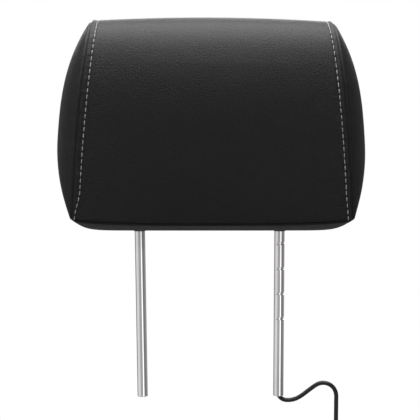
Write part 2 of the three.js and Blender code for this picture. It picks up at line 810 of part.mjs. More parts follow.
const buttonNames = ['power_button', 'source_button', 'menu_button', 'down_button', 'up_button'];
const buttonPlaces = buttonNames.map((_, i) => (i - (buttonNames.length - 1) / 2) * buttonPitch);
const boardCentre = (panelLow + panelHigh) / 2;
const boardWidth = 2 * (panelHalfWidth - boardSideMargin);
const boardHeight = panelHigh - panelLow - 2 * boardEndMargin;
const boardHoles = [-1, 1].flatMap((side) => [-1, 1].map((level) => [
  side * (boardWidth / 2 - boardHoleInset), boardCentre + level * (boardHeight / 2 - boardHoleInset),
]));

function buildBezel() {
  const window = roundedHole(activeWidth, activeHeight, 1, 0, (activeLow + activeHigh) / 2);
  const buttonHoles = buttonPlaces.map((x) => roundedHole(
    buttonWidth + 2 * touchGap, buttonHeight + 2 * touchGap, buttonHeight / 2 + touchGap, x, buttonRow,
  ));
  const irHole = roundHole(windowRadius + touchGap, indicatorPlace, buttonRow);
  const lightHole = roundHole(lightRadius + touchGap, -indicatorPlace, buttonRow);
  const outline = roundedOutline(bezelWidth, bezelHeight, bezelRadius, 0, bezelCentre);
  const plate = wallPlate(outline, [window, ...buttonHoles, irHole, lightHole], bezelBack, bezelFront);
  const recess = block(
    -moduleHalfWidth, moduleHalfWidth, bezelBack - joinDepth, glassFront + touchGap,
    panelLow - touchGap, moduleHigh,
  );
  const skirtOutline = roundedOutline(
    2 * skirtHalfWidth, skirtHigh - skirtLow, 1.5, 0, (skirtLow + skirtHigh) / 2,
  );
  const skirtHole = roundedHole(
    2 * moduleHalfWidth, moduleHigh - moduleLow, 0.5, 0, (moduleLow + moduleHigh) / 2,
  );
  const skirt = wallPlate(skirtOutline, [skirtHole], skirtEnd, bezelBack + joinDepth);
  const bosses = [-1, 1].map((side) => rodAlongY(
    buttonBoardBossRadius, buttonBoardBack + touchGap, bezelBack + joinDepth,
    side * buttonBoardBossPlace, buttonRow,
  ));
  const bossHoles = [-1, 1].map((side) => rodAlongY(
    smallShankRadius + touchGap, buttonBoardBack, buttonBoardBack + smallScrewLength,
    side * buttonBoardBossPlace, buttonRow,
  ));
  const sideHoles = moduleScrewPlaces.map(([side, z]) => sideHole(side, z));
  const frame = join(cut(plate, recess), skirt, ...bosses);
  addPart('screen_bezel', cut(frame, ...bossHoles, ...sideHoles), 0x16171a, 0.45, 0);
}

function buildScreen() {
  const sheet = (y0, y1) => block(-panelHalfWidth, panelHalfWidth, y0, y1, panelLow, panelHigh);
  addPart('screen_glass', sheet(glassBack, glassFront), 0x0b0c0f, 0.08, 0);
  addPart('screen_panel', sheet(panelBack, panelFront), 0x3a3c40, 0.5, 0.2);
  const standoffs = boardHoles.map(([x, z]) => rodAlongY(
    standoffRadius, bracketFront - standoffLength, bracketFront + joinDepth, x, z,
  ));
  const holes = boardHoles.map(([x, z]) => rodAlongY(
    screwShankRadius + touchGap, bracketFront - standoffLength - 1, bracketFront, x, z,
  ));
  const bracket = cut(join(sheet(bracketFront, bracketBack), ...standoffs), ...holes);
  addPart('screen_bracket', bracket, 0xa0a2a4, 0.45, 1);
}

function buildBoards() {
  const outline = roundedOutline(boardWidth, boardHeight, 2, 0, boardCentre);
  const holes = boardHoles.map(([x, z]) => roundHole(screwShankRadius + touchGap, x, z));
  const sheet = wallPlate(outline, holes, boardFront, boardBack);
  const chipHeight = 2.5;
  // Place and size of each chip, as shares of the board's width and height.
  const chips = [
    [-0.13, 0.09, 0.16, 0.27], [0.15, 0.16, 0.09, 0.16],
    [0.2, -0.22, 0.15, 0.1], [-0.27, -0.27, 0.11, 0.09],
  ];
  const chip = ([across, up, wide, high]) => block(
    (across - wide / 2) * boardWidth, (across + wide / 2) * boardWidth,
    boardFront - chipHeight, boardFront + joinDepth,
    boardCentre + (up - high / 2) * boardHeight, boardCentre + (up + high / 2) * boardHeight,
  );
  const board = join(sheet, ...chips.map(chip));
  addPart('main_board', board, 0x1e5a38, 0.55, 0);
  boardHoles.forEach(([x, z], i) => {
    const screw = panScrew(screwShankRadius, screwLength - standoffRadius, screwHeadRadius, screwHeadHeight);
    screw.rotateX(Math.PI / 2).translate(x, boardFront - touchGap, z);
    addPart(`board_screw_${i + 1}`, screw, 0x8c8d90, 0.35, 1);
  });

  const stripLow = moduleLow + touchGap;
  const stripHigh = panelLow - touchGap;
  const strip = wallPlate(
    roundedOutline(2 * buttonBoardHalfLength, stripHigh - stripLow, 0.8, 0, (stripLow + stripHigh) / 2),
    [-1, 1].map((side) => roundHole(smallShankRadius + touchGap, side * buttonBoardBossPlace, buttonRow)),
    buttonBoardBack - buttonBoardThickness, buttonBoardBack,
  );
  addPart('button_board', strip, 0x1e5a38, 0.55, 0);
  [-1, 1].forEach((side, i) => {
    const screw = panScrew(smallShankRadius, smallScrewLength, smallHeadRadius, smallHeadHeight);
    const seat = buttonBoardBack - buttonBoardThickness - touchGap;
    screw.rotateX(Math.PI / 2).translate(side * buttonBoardBossPlace, seat, buttonRow);
    addPart(`button_board_screw_${i + 1}`, screw, 0x8c8d90, 0.35, 1);
  });
}

function buildControls() {
  buttonNames.forEach((name, i) => {
    const x = buttonPlaces[i];
    const cap = wallPlate(
      roundedOutline(buttonWidth, buttonHeight, buttonHeight / 2, x, buttonRow), [],
      buttonFlangeBack, bezelFront + buttonProud,
    );
    const flange = wallPlate(
      roundedOutline(
        buttonWidth + 2 * buttonFlange, buttonHeight + 2 * buttonFlange,
        buttonHeight / 2 + buttonFlange, x, buttonRow,
      ), [], buttonFlangeBack, buttonFlangeBack + buttonFlangeThickness,
    );
    addPart(name, join(cap, flange), 0x2b2d31, 0.5, 0);
  });
  const rear = buttonBoardBack + touchGap;
  const window = rodAlongY(windowRadius, rear, bezelFront, indicatorPlace, buttonRow);
  const light = rodAlongY(lightRadius, rear, bezelFront, -indicatorPlace, buttonRow);
  addPart('ir_window', window, 0x2a0508, 0.15, 0);
  addPart('status_light', light, 0x5a7fd0, 0.3, 0);
}

// Cable

function cableTube(points) {
  const path = new THREE.CatmullRomCurve3(points, false, 'centripetal');
  const section = new THREE.Shape();
  for (let i = 0; i < cableSides; i += 1) {
    const angle = 2 * Math.PI * i / cableSides;
    const [u, v] = [cableRadius * Math.cos(angle), cableRadius * Math.sin(angle)];
    if (i === 0) section.moveTo(u, v);
    else section.lineTo(u, v);
  }
  section.closePath();
  const steps = Math.max(1, Math.round(path.getLength() / (cableDiameter * 1.1)));
  return new THREE.ExtrudeGeometry(section, { steps, bevelEnabled: false, extrudePath: path });
}

function straightCable(x, y, z0, z1) {
  const profile = [[0, z0], [cableRadius, z0], [cableRadius, z1], [0, z1]];
  return turned(profile, cableSides).translate(x, y, 0);
}

function buildCable() {
  const black = 0x121214;
  addPart('lead_in_post', straightCable(rightPostPlace + leadOffset, 0, leadFoot, postTop), black, 0.5, 0);
  const route = cableRoute.map(([across, up]) => new THREE.Vector3(rightPostPlace + across, 0, up));
  addPart('cable_free', cableTube(route), black, 0.5, 0);

  const hankOutline = roundedOutline(
    2 * hankRadius, hankRun + 2 * hankRadius, hankRadius,
    rightPostPlace + hankCentre, (hankTopCentre + hankLowCentre) / 2,
  );
  addPart('cable_hank', wallPlate(hankOutline, [], -cableRadius, hankBack + cableRadius), black, 0.5, 0);

  const tieRing = (grow, Kind) => roundedOutline(
    2 * (hankRadius + grow), hankBack + cableDiameter + 2 * grow, grow,
    rightPostPlace + hankCentre, hankBack / 2, Kind,
  );
  const tieMiddle = (hankTopCentre + hankLowCentre) / 2;
  const tie = floorPlate(
    tieRing(touchGap + tieThickness), [tieRing(touchGap, THREE.Path)],
    tieMiddle - tieHeight / 2, tieMiddle + tieHeight / 2,
  );
  addPart('hank_tie', tie, 0x0f0f10, 0.6, 0);

  const x = rightPostPlace + hankRight;
  addPart('cable_tail', straightCable(x, hankBack, tailTop - tailLength, tailTop), black, 0.5, 0);
  const bodyTop = plugTop - reliefLength;
  const bodyLow = bodyTop - plugLength;
  const plug = turned([
    [0, bodyLow], [plugRadius * 0.93, bodyLow], [plugRadius, bodyLow + 1], [plugRadius, bodyTop - 2],
    [reliefRadius + 1, bodyTop], [reliefRadius, plugTop], [0, plugTop],
  ], roundSides);
  addPart('cable_plug', plug.translate(x, hankBack, 0), 0x161618, 0.55, 0);
  const tipTop = bodyLow - touchGap;
  const tipLow = tipTop - plugTipLength;
  const tipInner = plugTipRadius - 0.8;
  const tip = turned([
    [0, tipLow + plugTipRecess], [tipInner, tipLow + plugTipRecess], [tipInner, tipLow],
    [plugTipRadius, tipLow], [plugTipRadius, tipTop], [0, tipTop],
  ], roundSides);
  addPart('plug_tip', tip.translate(x, hankBack, 0), 0xb9babc, 0.25, 1);
}

buildFoam();
buildCovers();
buildTub();
buildRail();
buildPost(-1, 'left');
buildPost(1, 'right');
buildBezel();
buildScreen();
buildModuleScrews();
buildBoards();
buildControls();
buildCable();

export default headrest;
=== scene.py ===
import json
import math

import bpy
import numpy as np
from mathutils import Matrix, Quaternion, Vector


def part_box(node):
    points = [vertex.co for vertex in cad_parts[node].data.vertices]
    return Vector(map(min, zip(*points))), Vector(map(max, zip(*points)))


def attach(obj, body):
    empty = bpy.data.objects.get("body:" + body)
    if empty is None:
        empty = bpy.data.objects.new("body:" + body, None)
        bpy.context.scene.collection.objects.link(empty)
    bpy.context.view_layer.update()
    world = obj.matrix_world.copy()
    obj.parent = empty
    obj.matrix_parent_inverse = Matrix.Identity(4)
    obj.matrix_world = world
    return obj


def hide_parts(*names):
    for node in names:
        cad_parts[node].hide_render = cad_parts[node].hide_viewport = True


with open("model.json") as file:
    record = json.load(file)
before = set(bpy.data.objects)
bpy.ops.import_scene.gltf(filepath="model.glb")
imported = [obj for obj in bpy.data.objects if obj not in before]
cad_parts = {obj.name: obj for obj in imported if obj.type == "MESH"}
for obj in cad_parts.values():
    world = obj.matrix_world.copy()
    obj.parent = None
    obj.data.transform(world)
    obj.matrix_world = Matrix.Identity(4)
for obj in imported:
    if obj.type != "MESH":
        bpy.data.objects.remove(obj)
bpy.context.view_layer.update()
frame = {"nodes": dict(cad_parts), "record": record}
nodes = frame["nodes"]
mm = 0.001


view = {
    "lens": 97.7,
    "distance": 1.1,
    "azimuth": -1.7,
    "elevation": 4.5,
    "target": (-0.00125, 0.0, 0.1819),
    "roll": 0.15,
}


def placeCamera():
    azimuth = math.radians(view["azimuth"])
    elevation = math.radians(view["elevation"])
    target = Vector(view["target"])
    back = Vector((
        math.sin(azimuth) * math.cos(elevation),
        -math.cos(azimuth) * math.cos(elevation),
        math.sin(elevation),
    ))
    bpy.ops.object.camera_add(location=target + back * view["distance"])
    camera = bpy.context.object
    camera.data.lens = view["lens"]
    camera.data.sensor_width = 36
    camera.data.clip_start = 0.05
    camera.data.clip_end = 60
    camera.rotation_mode = "QUATERNION"
    level = (-back).to_track_quat("-Z", "Y")
    camera.rotation_quaternion = level @ Quaternion((0, 0, 1), math.radians(view["roll"]))
    bpy.context.scene.camera = camera


# The same route as the part's source, beside the right post's axis, in millimetres.
cable = {
    "postPlace": 66.1,
    "diameter": 4.2,
    "route": [
        (-0.6, 9.5), (-0.6, 4.2), (0.09, 0.76), (2.04, -2.16), (4.96, -4.11), (8.4, -4.8),
        (12.6, -4.6), (16.4, -3.7), (20.1, -2.0), (24.0, 0.5), (28.2, 3.7), (32.4, 6.9),
        (36.5, 9.8), (40.6, 11.7), (45.1, 12.1), (49.5, 10.9), (53.2, 8.3), (55.7, 4.6),
        (56.9, 0.3), (57, -6), (57, -14), (57, -24), (57, -34.4),
    ],
    "foldRadius": 12.6,
    "passGap": 4.4,
    "hankTop": -45,
    "hankLow": -109,
    "passes": 3,
    "tailEnd": -128.7,
    "arcSteps": 18,
    "runSteps": 8,
    "tailSteps": 12,
}


def cableLine():
    right = cable["route"][-1][0]
    middle = right - cable["foldRadius"]
    line = [(x, 0.0, z) for x, z in cable["route"]]
    steps = cable["arcSteps"]
    down = np.linspace(cable["hankTop"], cable["hankLow"], cable["runSteps"])
    for turn in range(cable["passes"] - 1):
        depth = turn * cable["passGap"]
        for z in down[(1 if turn == 0 else 0):-1]:
            line.append((right, depth, z))
        for i in range(steps + 1):
            angle = -math.pi * i / steps
            line.append((
                middle + cable["foldRadius"] * math.cos(angle), depth,
                cable["hankLow"] + cable["foldRadius"] * math.sin(angle),
            ))
        for z in down[-2:0:-1]:
            line.append((middle - cable["foldRadius"], depth, z))
        for i in range(steps):
            share = i / steps
            angle = math.pi * (1 - share)
            eased = share * share * (3 - 2 * share)
            line.append((
                middle + cable["foldRadius"] * math.cos(angle), depth + cable["passGap"] * eased,
                cable["hankTop"] + cable["foldRadius"] * math.sin(angle),
            ))
    depth = (cable["passes"] - 1) * cable["passGap"]
    for z in np.linspace(cable["hankTop"], cable["tailEnd"], cable["tailSteps"]):
        line.append((right, depth, z))
    return [Vector((cable["postPlace"] + x, y, z)) * mm for x, y, z in line]


def smoothLine(points, step=0.0015):
    dense = []
    ends = [2 * points[0] - points[1]] + points + [2 * points[-1] - points[-2]]
    for before, here, after, beyond in zip(ends, ends[1:], ends[2:], ends[3:]):
        count = max(1, round((after - here).length / step))
        for i in range(count):
            t = i / count
            dense.append(0.5 * (
                2 * here + (after - before) * t
                + (2 * before - 5 * here + 4 * after - beyond) * t * t
                + (3 * here - before - 3 * after + beyond) * t ** 3
            ))
    return dense + [points[-1]]


def makeCable():
    line = smoothLine(cableLine())
    curve = bpy.data.curves.new("cable", "CURVE")
    curve.dimensions = "3D"
    curve.bevel_depth = cable["diameter"] / 2 * mm
    curve.bevel_resolution = 5
    curve.use_fill_caps = True
    spline = curve.splines.new("POLY")
    spline.points.add(len(line) - 1)
    for point, place in zip(spline.points, line):
        point.co = (*place, 1)
    spline.use_smooth = True
    piece = bpy.data.objects.new("cable", curve)
    bpy.context.scene.collection.objects.link(piece)
    length = sum((b - a).length for a, b in zip(line, line[1:]))
    return piece, length


placeCamera()
cablePiece, cableLength = makeCable()
print("camera and cable are in place, cable", round(cableLength, 4), "m")


def deselectAll():
    if bpy.context.object and bpy.context.object.mode != "OBJECT":
        bpy.ops.object.mode_set(mode="OBJECT")
    bpy.ops.object.select_all(action="DESELECT")


def pick(piece):
    deselectAll()
    piece.select_set(True)
    bpy.context.view_layer.objects.active = piece


def nameLast(name):
    piece = bpy.context.object
    piece.name = name
    piece.data.name = name
    return piece


def applyAll(piece):
    pick(piece)
    for modifier in list(piece.modifiers):
        bpy.ops.object.modifier_apply(modifier=modifier.name)


def settle(piece, angle=35):
    pick(piece)
    bpy.ops.object.transform_apply(location=True, rotation=True, scale=True)
    bpy.ops.object.shade_smooth_by_angle(angle=math.radians(angle))
    return piece


def outwardNormals(piece):
    pick(piece)
    bpy.ops.object.mode_set(mode="EDIT")
    bpy.ops.mesh.select_all(action="SELECT")
    bpy.ops.mesh.remove_doubles(threshold=1e-6)
    bpy.ops.mesh.normals_make_consistent(inside=False)
    bpy.ops.object.mode_set(mode="OBJECT")


def bevelEdges(piece, width, segments=2, angle=40):
    bevel = piece.modifiers.new("edges", "BEVEL")
    bevel.width = width
    bevel.segments = segments
    bevel.limit_method = "ANGLE"
    bevel.angle_limit = math.radians(angle)
    applyAll(piece)


def cutWith(piece, *tools, operation="DIFFERENCE"):
    for tool in tools:
        cut = piece.modifiers.new("cut", "BOOLEAN")
        cut.operation = operation
        cut.solver = "EXACT"
        cut.object = tool
    applyAll(piece)
    for tool in tools:
        bpy.data.objects.remove(tool)


def block(name, low, high):
    deselectAll()
    size = [b - a for a, b in zip(low, high)]
    bpy.ops.mesh.primitive_cube_add(size=1, location=[(a + b) / 2 for a, b in zip(low, high)])
    piece = nameLast(name)
    piece.scale = size
    pick(piece)
    bpy.ops.object.transform_apply(location=True, rotation=True, scale=True)
    return piece


# Edges are picked in code, so edit mode has to open in edge mode.
def roundedBlock(name, low, high, axis, radius, segments=8):
    piece = block(name, low, high)
    bpy.context.tool_settings.mesh_select_mode = (False, True, False)
    for edge in piece.data.edges:
        a, b = [piece.data.vertices[i].co for i in edge.vertices]
        edge.select = abs((b - a).normalized()[axis]) > 0.99
    for vertex in piece.data.vertices:
        vertex.select = True
    for face in piece.data.polygons:
        face.select = False
    bpy.ops.object.mode_set(mode="EDIT")
    bpy.ops.mesh.bevel(offset=radius, segments=segments, affect="EDGES")
    bpy.ops.mesh.select_mode(type="VERT")
    bpy.ops.object.mode_set(mode="OBJECT")
    return piece


# A turned piece about the Z axis, in millimetres: a circle is extruded and resized along its profile.
def turnedPiece(name, profile, sides, tube=False, angle=35):
    deselectAll()
    profile = [(radius * mm, height * mm) for radius, height in profile]
    radius, height = profile[0]
    fill = "NOTHING" if tube else "NGON"
    bpy.ops.mesh.primitive_circle_add(vertices=sides, radius=radius, fill_type=fill)
    piece = nameLast(name)
    bpy.ops.object.mode_set(mode="EDIT")
    bpy.ops.mesh.select_mode(type="VERT")
    bpy.ops.mesh.select_all(action="SELECT")
    bpy.ops.transform.translate(value=(0, 0, height))
    for nextRadius, nextHeight in profile[1:]:
        bpy.ops.mesh.extrude_region_move(
            TRANSFORM_OT_translate={"value": (0, 0, nextHeight - height)}
        )
        grow = nextRadius / radius
        bpy.ops.transform.resize(value=(grow, grow, 1), center_override=(0, 0, nextHeight))
        radius, height = nextRadius, nextHeight
    if not tube:
        bpy.ops.mesh.edge_face_add()
    bpy.ops.object.mode_set(mode="OBJECT")
    outwardNormals(piece)
    return settle(piece, angle)


def moveMesh(piece, matrix):
    piece.data.transform(matrix)
    piece.data.update()
    return piece


def joined(name, pieces):
    deselectAll()
    for piece in pieces:
        piece.select_set(True)
    bpy.context.view_layer.objects.active = pieces[0]
    bpy.ops.object.join()
    return nameLast(name)


# A group that takes a place and single values, and puts out single values.
def makeGroup(name, inputs, outputs):
    group = bpy.data.node_groups.new(name, "ShaderNodeTree")
    group.interface.new_socket(name="Vector", in_out="INPUT", socket_type="NodeSocketVector")
    for label, value in inputs.items():
        socket = group.interface.new_socket(name=label, in_out="INPUT", socket_type="NodeSocketFloat")
        socket.default_value = value
    for label in outputs:
        group.interface.new_socket(name=label, in_out="OUTPUT", socket_type="NodeSocketFloat")
    return group, group.nodes.new("NodeGroupInput"), group.nodes.new("NodeGroupOutput")


def addNode(tree, kind, values=None, **settings):
    node = tree.nodes.new(kind)
    for name, value in settings.items():
        setattr(node, name, value)
    for socket, value in (values or {}).items():
        if isinstance(value, bpy.types.NodeSocket):
            tree.links.new(value, node.inputs[socket])
        else:
            node.inputs[socket].default_value = value
    return node


def connect(tree, node, **values):
    for socket, value in values.items():
        tree.links.new(value, node.inputs[socket.replace("_", " ")])


def mathNode(tree, operation, first, second):
    return addNode(tree, "ShaderNodeMath", {0: first, 1: second}, operation=operation).outputs[0]


def noise(tree, place, scale, detail, **more):
    return addNode(tree, "ShaderNodeTexNoise", {"Vector": place, "Scale": scale, "Detail": detail, **more})


def objectPlace(tree):
    return addNode(tree, "ShaderNodeTexCoord").outputs["Object"]


def spread(tree, value, low, high, toLow=0.0, toHigh=1.0):
    return addNode(tree, "ShaderNodeMapRange", {
        "Value": value, "From Min": low, "From Max": high, "To Min": toLow, "To Max": toHigh,
    }).outputs[0]


# Pebbled leather: raised cells with thin creases between them, and slow changes of tone.
def leatherGrainGroup():
    group, start, end = makeGroup(
        "leatherGrain", {"Cells Per Metre": 520.0, "Crease Width": 0.12}, ["Height", "Crease", "Tone"],
    )
    place = start.outputs["Vector"]
    scale = start.outputs["Cells Per Metre"]
    wobble = noise(group, place, 420.0, 2.0)
    shift = addNode(group, "ShaderNodeVectorMath", {0: wobble.outputs["Color"], "Scale": 0.0012},
                    operation="SCALE")
    bent = addNode(group, "ShaderNodeVectorMath", {0: place, 1: shift.outputs[0]}, operation="ADD")
    cells = addNode(group, "ShaderNodeTexVoronoi", {"Vector": bent.outputs[0], "Scale": scale},
                    feature="DISTANCE_TO_EDGE")
    crease = addNode(group, "ShaderNodeMapRange", {
        "Value": cells.outputs["Distance"], "From Min": 0.0, "From Max": start.outputs["Crease Width"],
        "To Min": 1.0, "To Max": 0.0,
    }, interpolation_type="SMOOTHSTEP")
    domes = addNode(group, "ShaderNodeTexVoronoi", {"Vector": bent.outputs[0], "Scale": scale})
    dome = spread(group, domes.outputs["Distance"], 0.0, 0.9, 1.0, 0.55)
    fine = spread(group, noise(group, place, 3400.0, 2.0).outputs["Fac"], 0.3, 0.7, -0.08, 0.08)
    sunk = mathNode(group, "MULTIPLY", crease.outputs[0], 0.6)
    height = mathNode(group, "ADD", mathNode(group, "SUBTRACT", dome, sunk), fine)
    tone = spread(group, noise(group, place, 16.0, 3.0).outputs["Fac"], 0.3, 0.7)
    connect(group, end, Height=height, Crease=crease.outputs[0], Tone=tone)
    return group


# Moulded plastic or rubber: a spark-eroded skin and a few slow marks.
def mouldedSkinGroup():
    group, start, end = makeGroup("mouldedSkin", {"Grains Per Metre": 2600.0}, ["Height", "Tone"])
    place = start.outputs["Vector"]
    spark = noise(group, place, start.outputs["Grains Per Metre"], 3.0, Roughness=0.6)
    tone = spread(group, noise(group, place, 38.0, 4.0).outputs["Fac"], 0.3, 0.7)
    connect(group, end, Height=spark.outputs["Fac"], Tone=tone)
    return group


# Drawn or rolled metal: fine lines along Z, light stains and a few scuffs.
def drawnMetalGroup():
    group, start, end = makeGroup("drawnMetal", {"Lines": 1800.0}, ["Lines", "Stain", "Scuff"])
    place = start.outputs["Vector"]
    stretch = addNode(group, "ShaderNodeMapping", {"Vector": place, "Scale": (1.0, 1.0, 0.02)})
    lines = noise(group, stretch.outputs[0], start.outputs["Lines"], 2.0)
    stain = spread(group, noise(group, place, 24.0, 4.0).outputs["Fac"], 0.35, 0.7)
    scuff = spread(group, noise(group, place, 190.0, 5.0).outputs["Fac"], 0.6, 0.75)
    connect(group, end, Lines=lines.outputs["Fac"], Stain=stain, Scuff=scuff)
    return group


leatherGrain = leatherGrainGroup()
mouldedSkin = mouldedSkinGroup()
drawnMetal = drawnMetalGroup()


def startMaterial(name, **sockets):
    material = bpy.data.materials.new(name)
    material.use_nodes = True
    shader = material.node_tree.nodes["Principled BSDF"]
    for socket, value in sockets.items():
        shader.inputs[socket.replace("_", " ")].default_value = value
    return material, material.node_tree, shader


def useGroup(tree, group, **values):
    node = tree.nodes.new("ShaderNodeGroup")
    node.node_tree = group
    connect(tree, node, Vector=objectPlace(tree))
    for socket, value in values.items():
        node.inputs[socket.replace("_", " ")].default_value = value
    return node


def blendColours(tree, share, dark, light):
    values = {0: share, 6: (*dark, 1), 7: (*light, 1)}
    return addNode(tree, "ShaderNodeMix", values, data_type="RGBA").outputs[2]


def bumpFrom(tree, shader, height, strength, depth):
    bump = addNode(tree, "ShaderNodeBump", {"Height": height, "Strength": strength, "Distance": depth})
    connect(tree, shader, Normal=bump.outputs[0])


def leatherMaterial(name, dark, light, rough=(0.42, 0.56), level=0.36, bump=0.65, depth=0.0003):
    material, tree, shader = startMaterial(name, Specular_IOR_Level=level)
    grain = useGroup(tree, leatherGrain)
    connect(tree, shader, Base_Color=blendColours(tree, grain.outputs["Tone"], dark, light),
            Roughness=spread(tree, grain.outputs["Crease"], 0, 1, *rough))
    bumpFrom(tree, shader, grain.outputs["Height"], bump, depth)
    return material


def plasticMaterial(name, dark, light, rough, grains=2600.0, bump=0.25, depth=0.00006):
    material, tree, shader = startMaterial(name)
    skin = useGroup(tree, mouldedSkin, Grains_Per_Metre=grains)
    connect(tree, shader, Base_Color=blendColours(tree, skin.outputs["Tone"], dark, light),
            Roughness=spread(tree, skin.outputs["Tone"], 0, 1, *rough))
    bumpFrom(tree, shader, skin.outputs["Height"], bump, depth)
    return material


def metalMaterial(name, dark, light, rough, lines=1800.0, bump=0.1, depth=0.00002):
    material, tree, shader = startMaterial(name, Metallic=1.0)
    drawn = useGroup(tree, drawnMetal, Lines=lines)
    worn = mathNode(tree, "MAXIMUM", drawn.outputs["Stain"], drawn.outputs["Scuff"])
    connect(tree, shader, Base_Color=blendColours(tree, drawn.outputs["Stain"], light, dark),
            Roughness=spread(tree, worn, 0, 1, *rough))
    if bump:
        bumpFrom(tree, shader, drawn.outputs["Lines"], bump, depth)
    return material


def threadMaterial():
    material, tree, shader = startMaterial("threadGrey", Roughness=0.7)
    twistAndShade = addNode(tree, "ShaderNodeTexWave", {
        "Vector": objectPlace(tree), "Scale": 420.0, "Distortion": 1.5, "Detail": 2.0,
    }, bands_direction="DIAGONAL")
    # The twist bands are real relief; their colour is painted shade, darker in the low grooves between the
    # plies and lighter on the raised plies.
    colour = blendColours(tree, twistAndShade.outputs["Fac"], (0.3, 0.3, 0.31), (0.52, 0.52, 0.54))
    connect(tree, shader, Base_Color=colour)
    bumpFrom(tree, shader, twistAndShade.outputs["Fac"], 0.5, 0.0001)
    return material


def boardMaterial():
    material, tree, shader = startMaterial("boardGreen", Roughness=0.4)
    tracks = addNode(tree, "ShaderNodeTexBrick", {
        "Vector": objectPlace(tree), "Scale": 260.0, "Mortar Size": 0.03,
        "Color1": (0.012, 0.09, 0.035, 1), "Color2": (0.015, 0.105, 0.042, 1),
        "Mortar": (0.03, 0.17, 0.07, 1),
    })
    connect(tree, shader, Base_Color=tracks.outputs["Color"])
    bumpFrom(tree, shader, tracks.outputs["Fac"], 0.2, 0.00005)
    return material


def foamMaterial():
    material, tree, shader = startMaterial("foamCells", Roughness=0.95)
    cells = addNode(tree, "ShaderNodeTexVoronoi", {"Vector": objectPlace(tree), "Scale": 900.0})
    colour = blendColours(tree, cells.outputs["Distance"], (0.5, 0.47, 0.4), (0.36, 0.33, 0.27))
    connect(tree, shader, Base_Color=colour)
    bumpFrom(tree, shader, cells.outputs["Distance"], 0.6, 0.0004)
    return material


# Material name, darker and lighter colour, least and most roughness, then what isn't as usual.
metals = {
    "post_steel": ("postChrome", (0.8, 0.785, 0.785), (0.88, 0.865, 0.865), (0.07, 0.12), 1800.0, 0),
    "bracket_steel": ("zincSheet", (0.33, 0.34, 0.35), (0.5, 0.51, 0.52), (0.32, 0.5), 900.0),
    "screw_steel": ("screwZinc", (0.3, 0.3, 0.31), (0.48, 0.48, 0.49), (0.28, 0.45), 2400.0),
    "carriage_steel": ("phosphatedSteel", (0.1, 0.1, 0.105), (0.2, 0.2, 0.21), (0.45, 0.6), 1200.0),
    "plug_metal": ("nickelPlate", (0.5, 0.49, 0.47), (0.68, 0.67, 0.65), (0.16, 0.28), 2200.0),
    "panel_frame": ("stampedFrame", (0.03, 0.03, 0.032), (0.07, 0.07, 0.075), (0.4, 0.55), 900.0),
}
plastics = {
    "tub_plastic": ("tubPlastic", (0.012, 0.012, 0.013), (0.022, 0.022, 0.024), (0.5, 0.62)),
    "trim_plastic": ("trimPlastic", (0.006, 0.006, 0.0065), (0.011, 0.011, 0.012), (0.5, 0.62)),
    "bezel_plastic": ("bezelPlastic", (0.008, 0.008, 0.009), (0.013, 0.013, 0.014), (0.38, 0.48)),
    "button_plastic": ("buttonPlastic", (0.03, 0.03, 0.033), (0.045, 0.045, 0.049), (0.42, 0.55)),
    "tie_plastic": ("tieStrap", (0.006, 0.006, 0.007), (0.012, 0.012, 0.013), (0.55, 0.7), 1400.0),
    "plug_rubber": ("plugRubber", (0.009, 0.009, 0.01), (0.014, 0.014, 0.015), (0.5, 0.65)),
    "cable_jacket": ("cableJacket", (0.007, 0.007, 0.0075), (0.011, 0.011, 0.012), (0.34, 0.46),
                     1800.0, 0.15),
    "screen_glass": ("screenGlass", (0.003, 0.003, 0.0035), (0.0045, 0.0045, 0.005), (0.05, 0.09),
                     600.0, 0.02, 0.00001),
    "ir_window": ("irWindow", (0.02, 0.0015, 0.003), (0.035, 0.003, 0.006), (0.08, 0.16)),
    "status_light": ("statusLight", (0.08, 0.16, 0.5), (0.14, 0.26, 0.68), (0.15, 0.3)),
}
materials = {
    "leather": leatherMaterial("leatherBlack", (0.0042, 0.0042, 0.0044), (0.0062, 0.0062, 0.0065)),
    "thread": threadMaterial(),
    "foam": foamMaterial(),
    "circuit_board": boardMaterial(),
    **{slot: metalMaterial(*values) for slot, values in metals.items()},
    **{slot: plasticMaterial(*values) for slot, values in plastics.items()},
}


def dress(piece, material):
    piece.data.materials.clear()
    piece.data.materials.append(materials[material])


def finishPiece(piece, body, slot, replaced=(), material=None):
    dress(piece, material or slot)
    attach(piece, body)
    if replaced:
        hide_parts(*replaced)
    return piece


for part in frame["record"]["subparts"]:
    dress(nodes[part["node"]], part["material_slot"])
print("materials are on the frame")


pillow = {
    "bottom": 0.1634,
    "top": 0.3649,
    "front": -0.048,
    "rear": 0.060,
    "frontCrown": 0.006,
    "crownPower": 0.7,
    "topCrown": 0.0033,
    "frontRadius": 0.045,
    "shoulderStart": 0.26,
    "shoulderPower": 2.8,
    "rearRadius": 0.018,
    "seamHalfLow": 0.1306,
    "seamHalfHigh": 0.1135,
    "seamCurve": 1.5,
    "lowerSeam": 0.1718,
    "cornerRise": 0.0035,
    "undersideCurve": 16,
    "gussetBulge": 0.0212,
    "gussetCentre": 0.2604,
    "gussetPowers": (2.2, 2.9),
    "ringRounding": 0.065,
}
middleDepth = (pillow["front"] + pillow["rear"]) / 2
halfDepth = (pillow["rear"] - pillow["front"]) / 2
panelLengths = {
    "front": pillow["top"] - pillow["frontRadius"] - pillow["lowerSeam"],
    "frontArc": pillow["frontRadius"] * math.pi / 2,
    "top": pillow["rear"] - pillow["rearRadius"] - pillow["front"] - pillow["frontRadius"],
    "rearArc": pillow["rearRadius"] * math.pi / 2,
    "rear": pillow["top"] - pillow["rearRadius"] - pillow["lowerSeam"],
    "bottom": 2 * halfDepth,
}
frontEnd = sum(panelLengths[k] for k in ("front", "frontArc", "top", "rearArc"))
rearEnd = frontEnd + panelLengths["rear"]
loopEnd = rearEnd + panelLengths["bottom"]


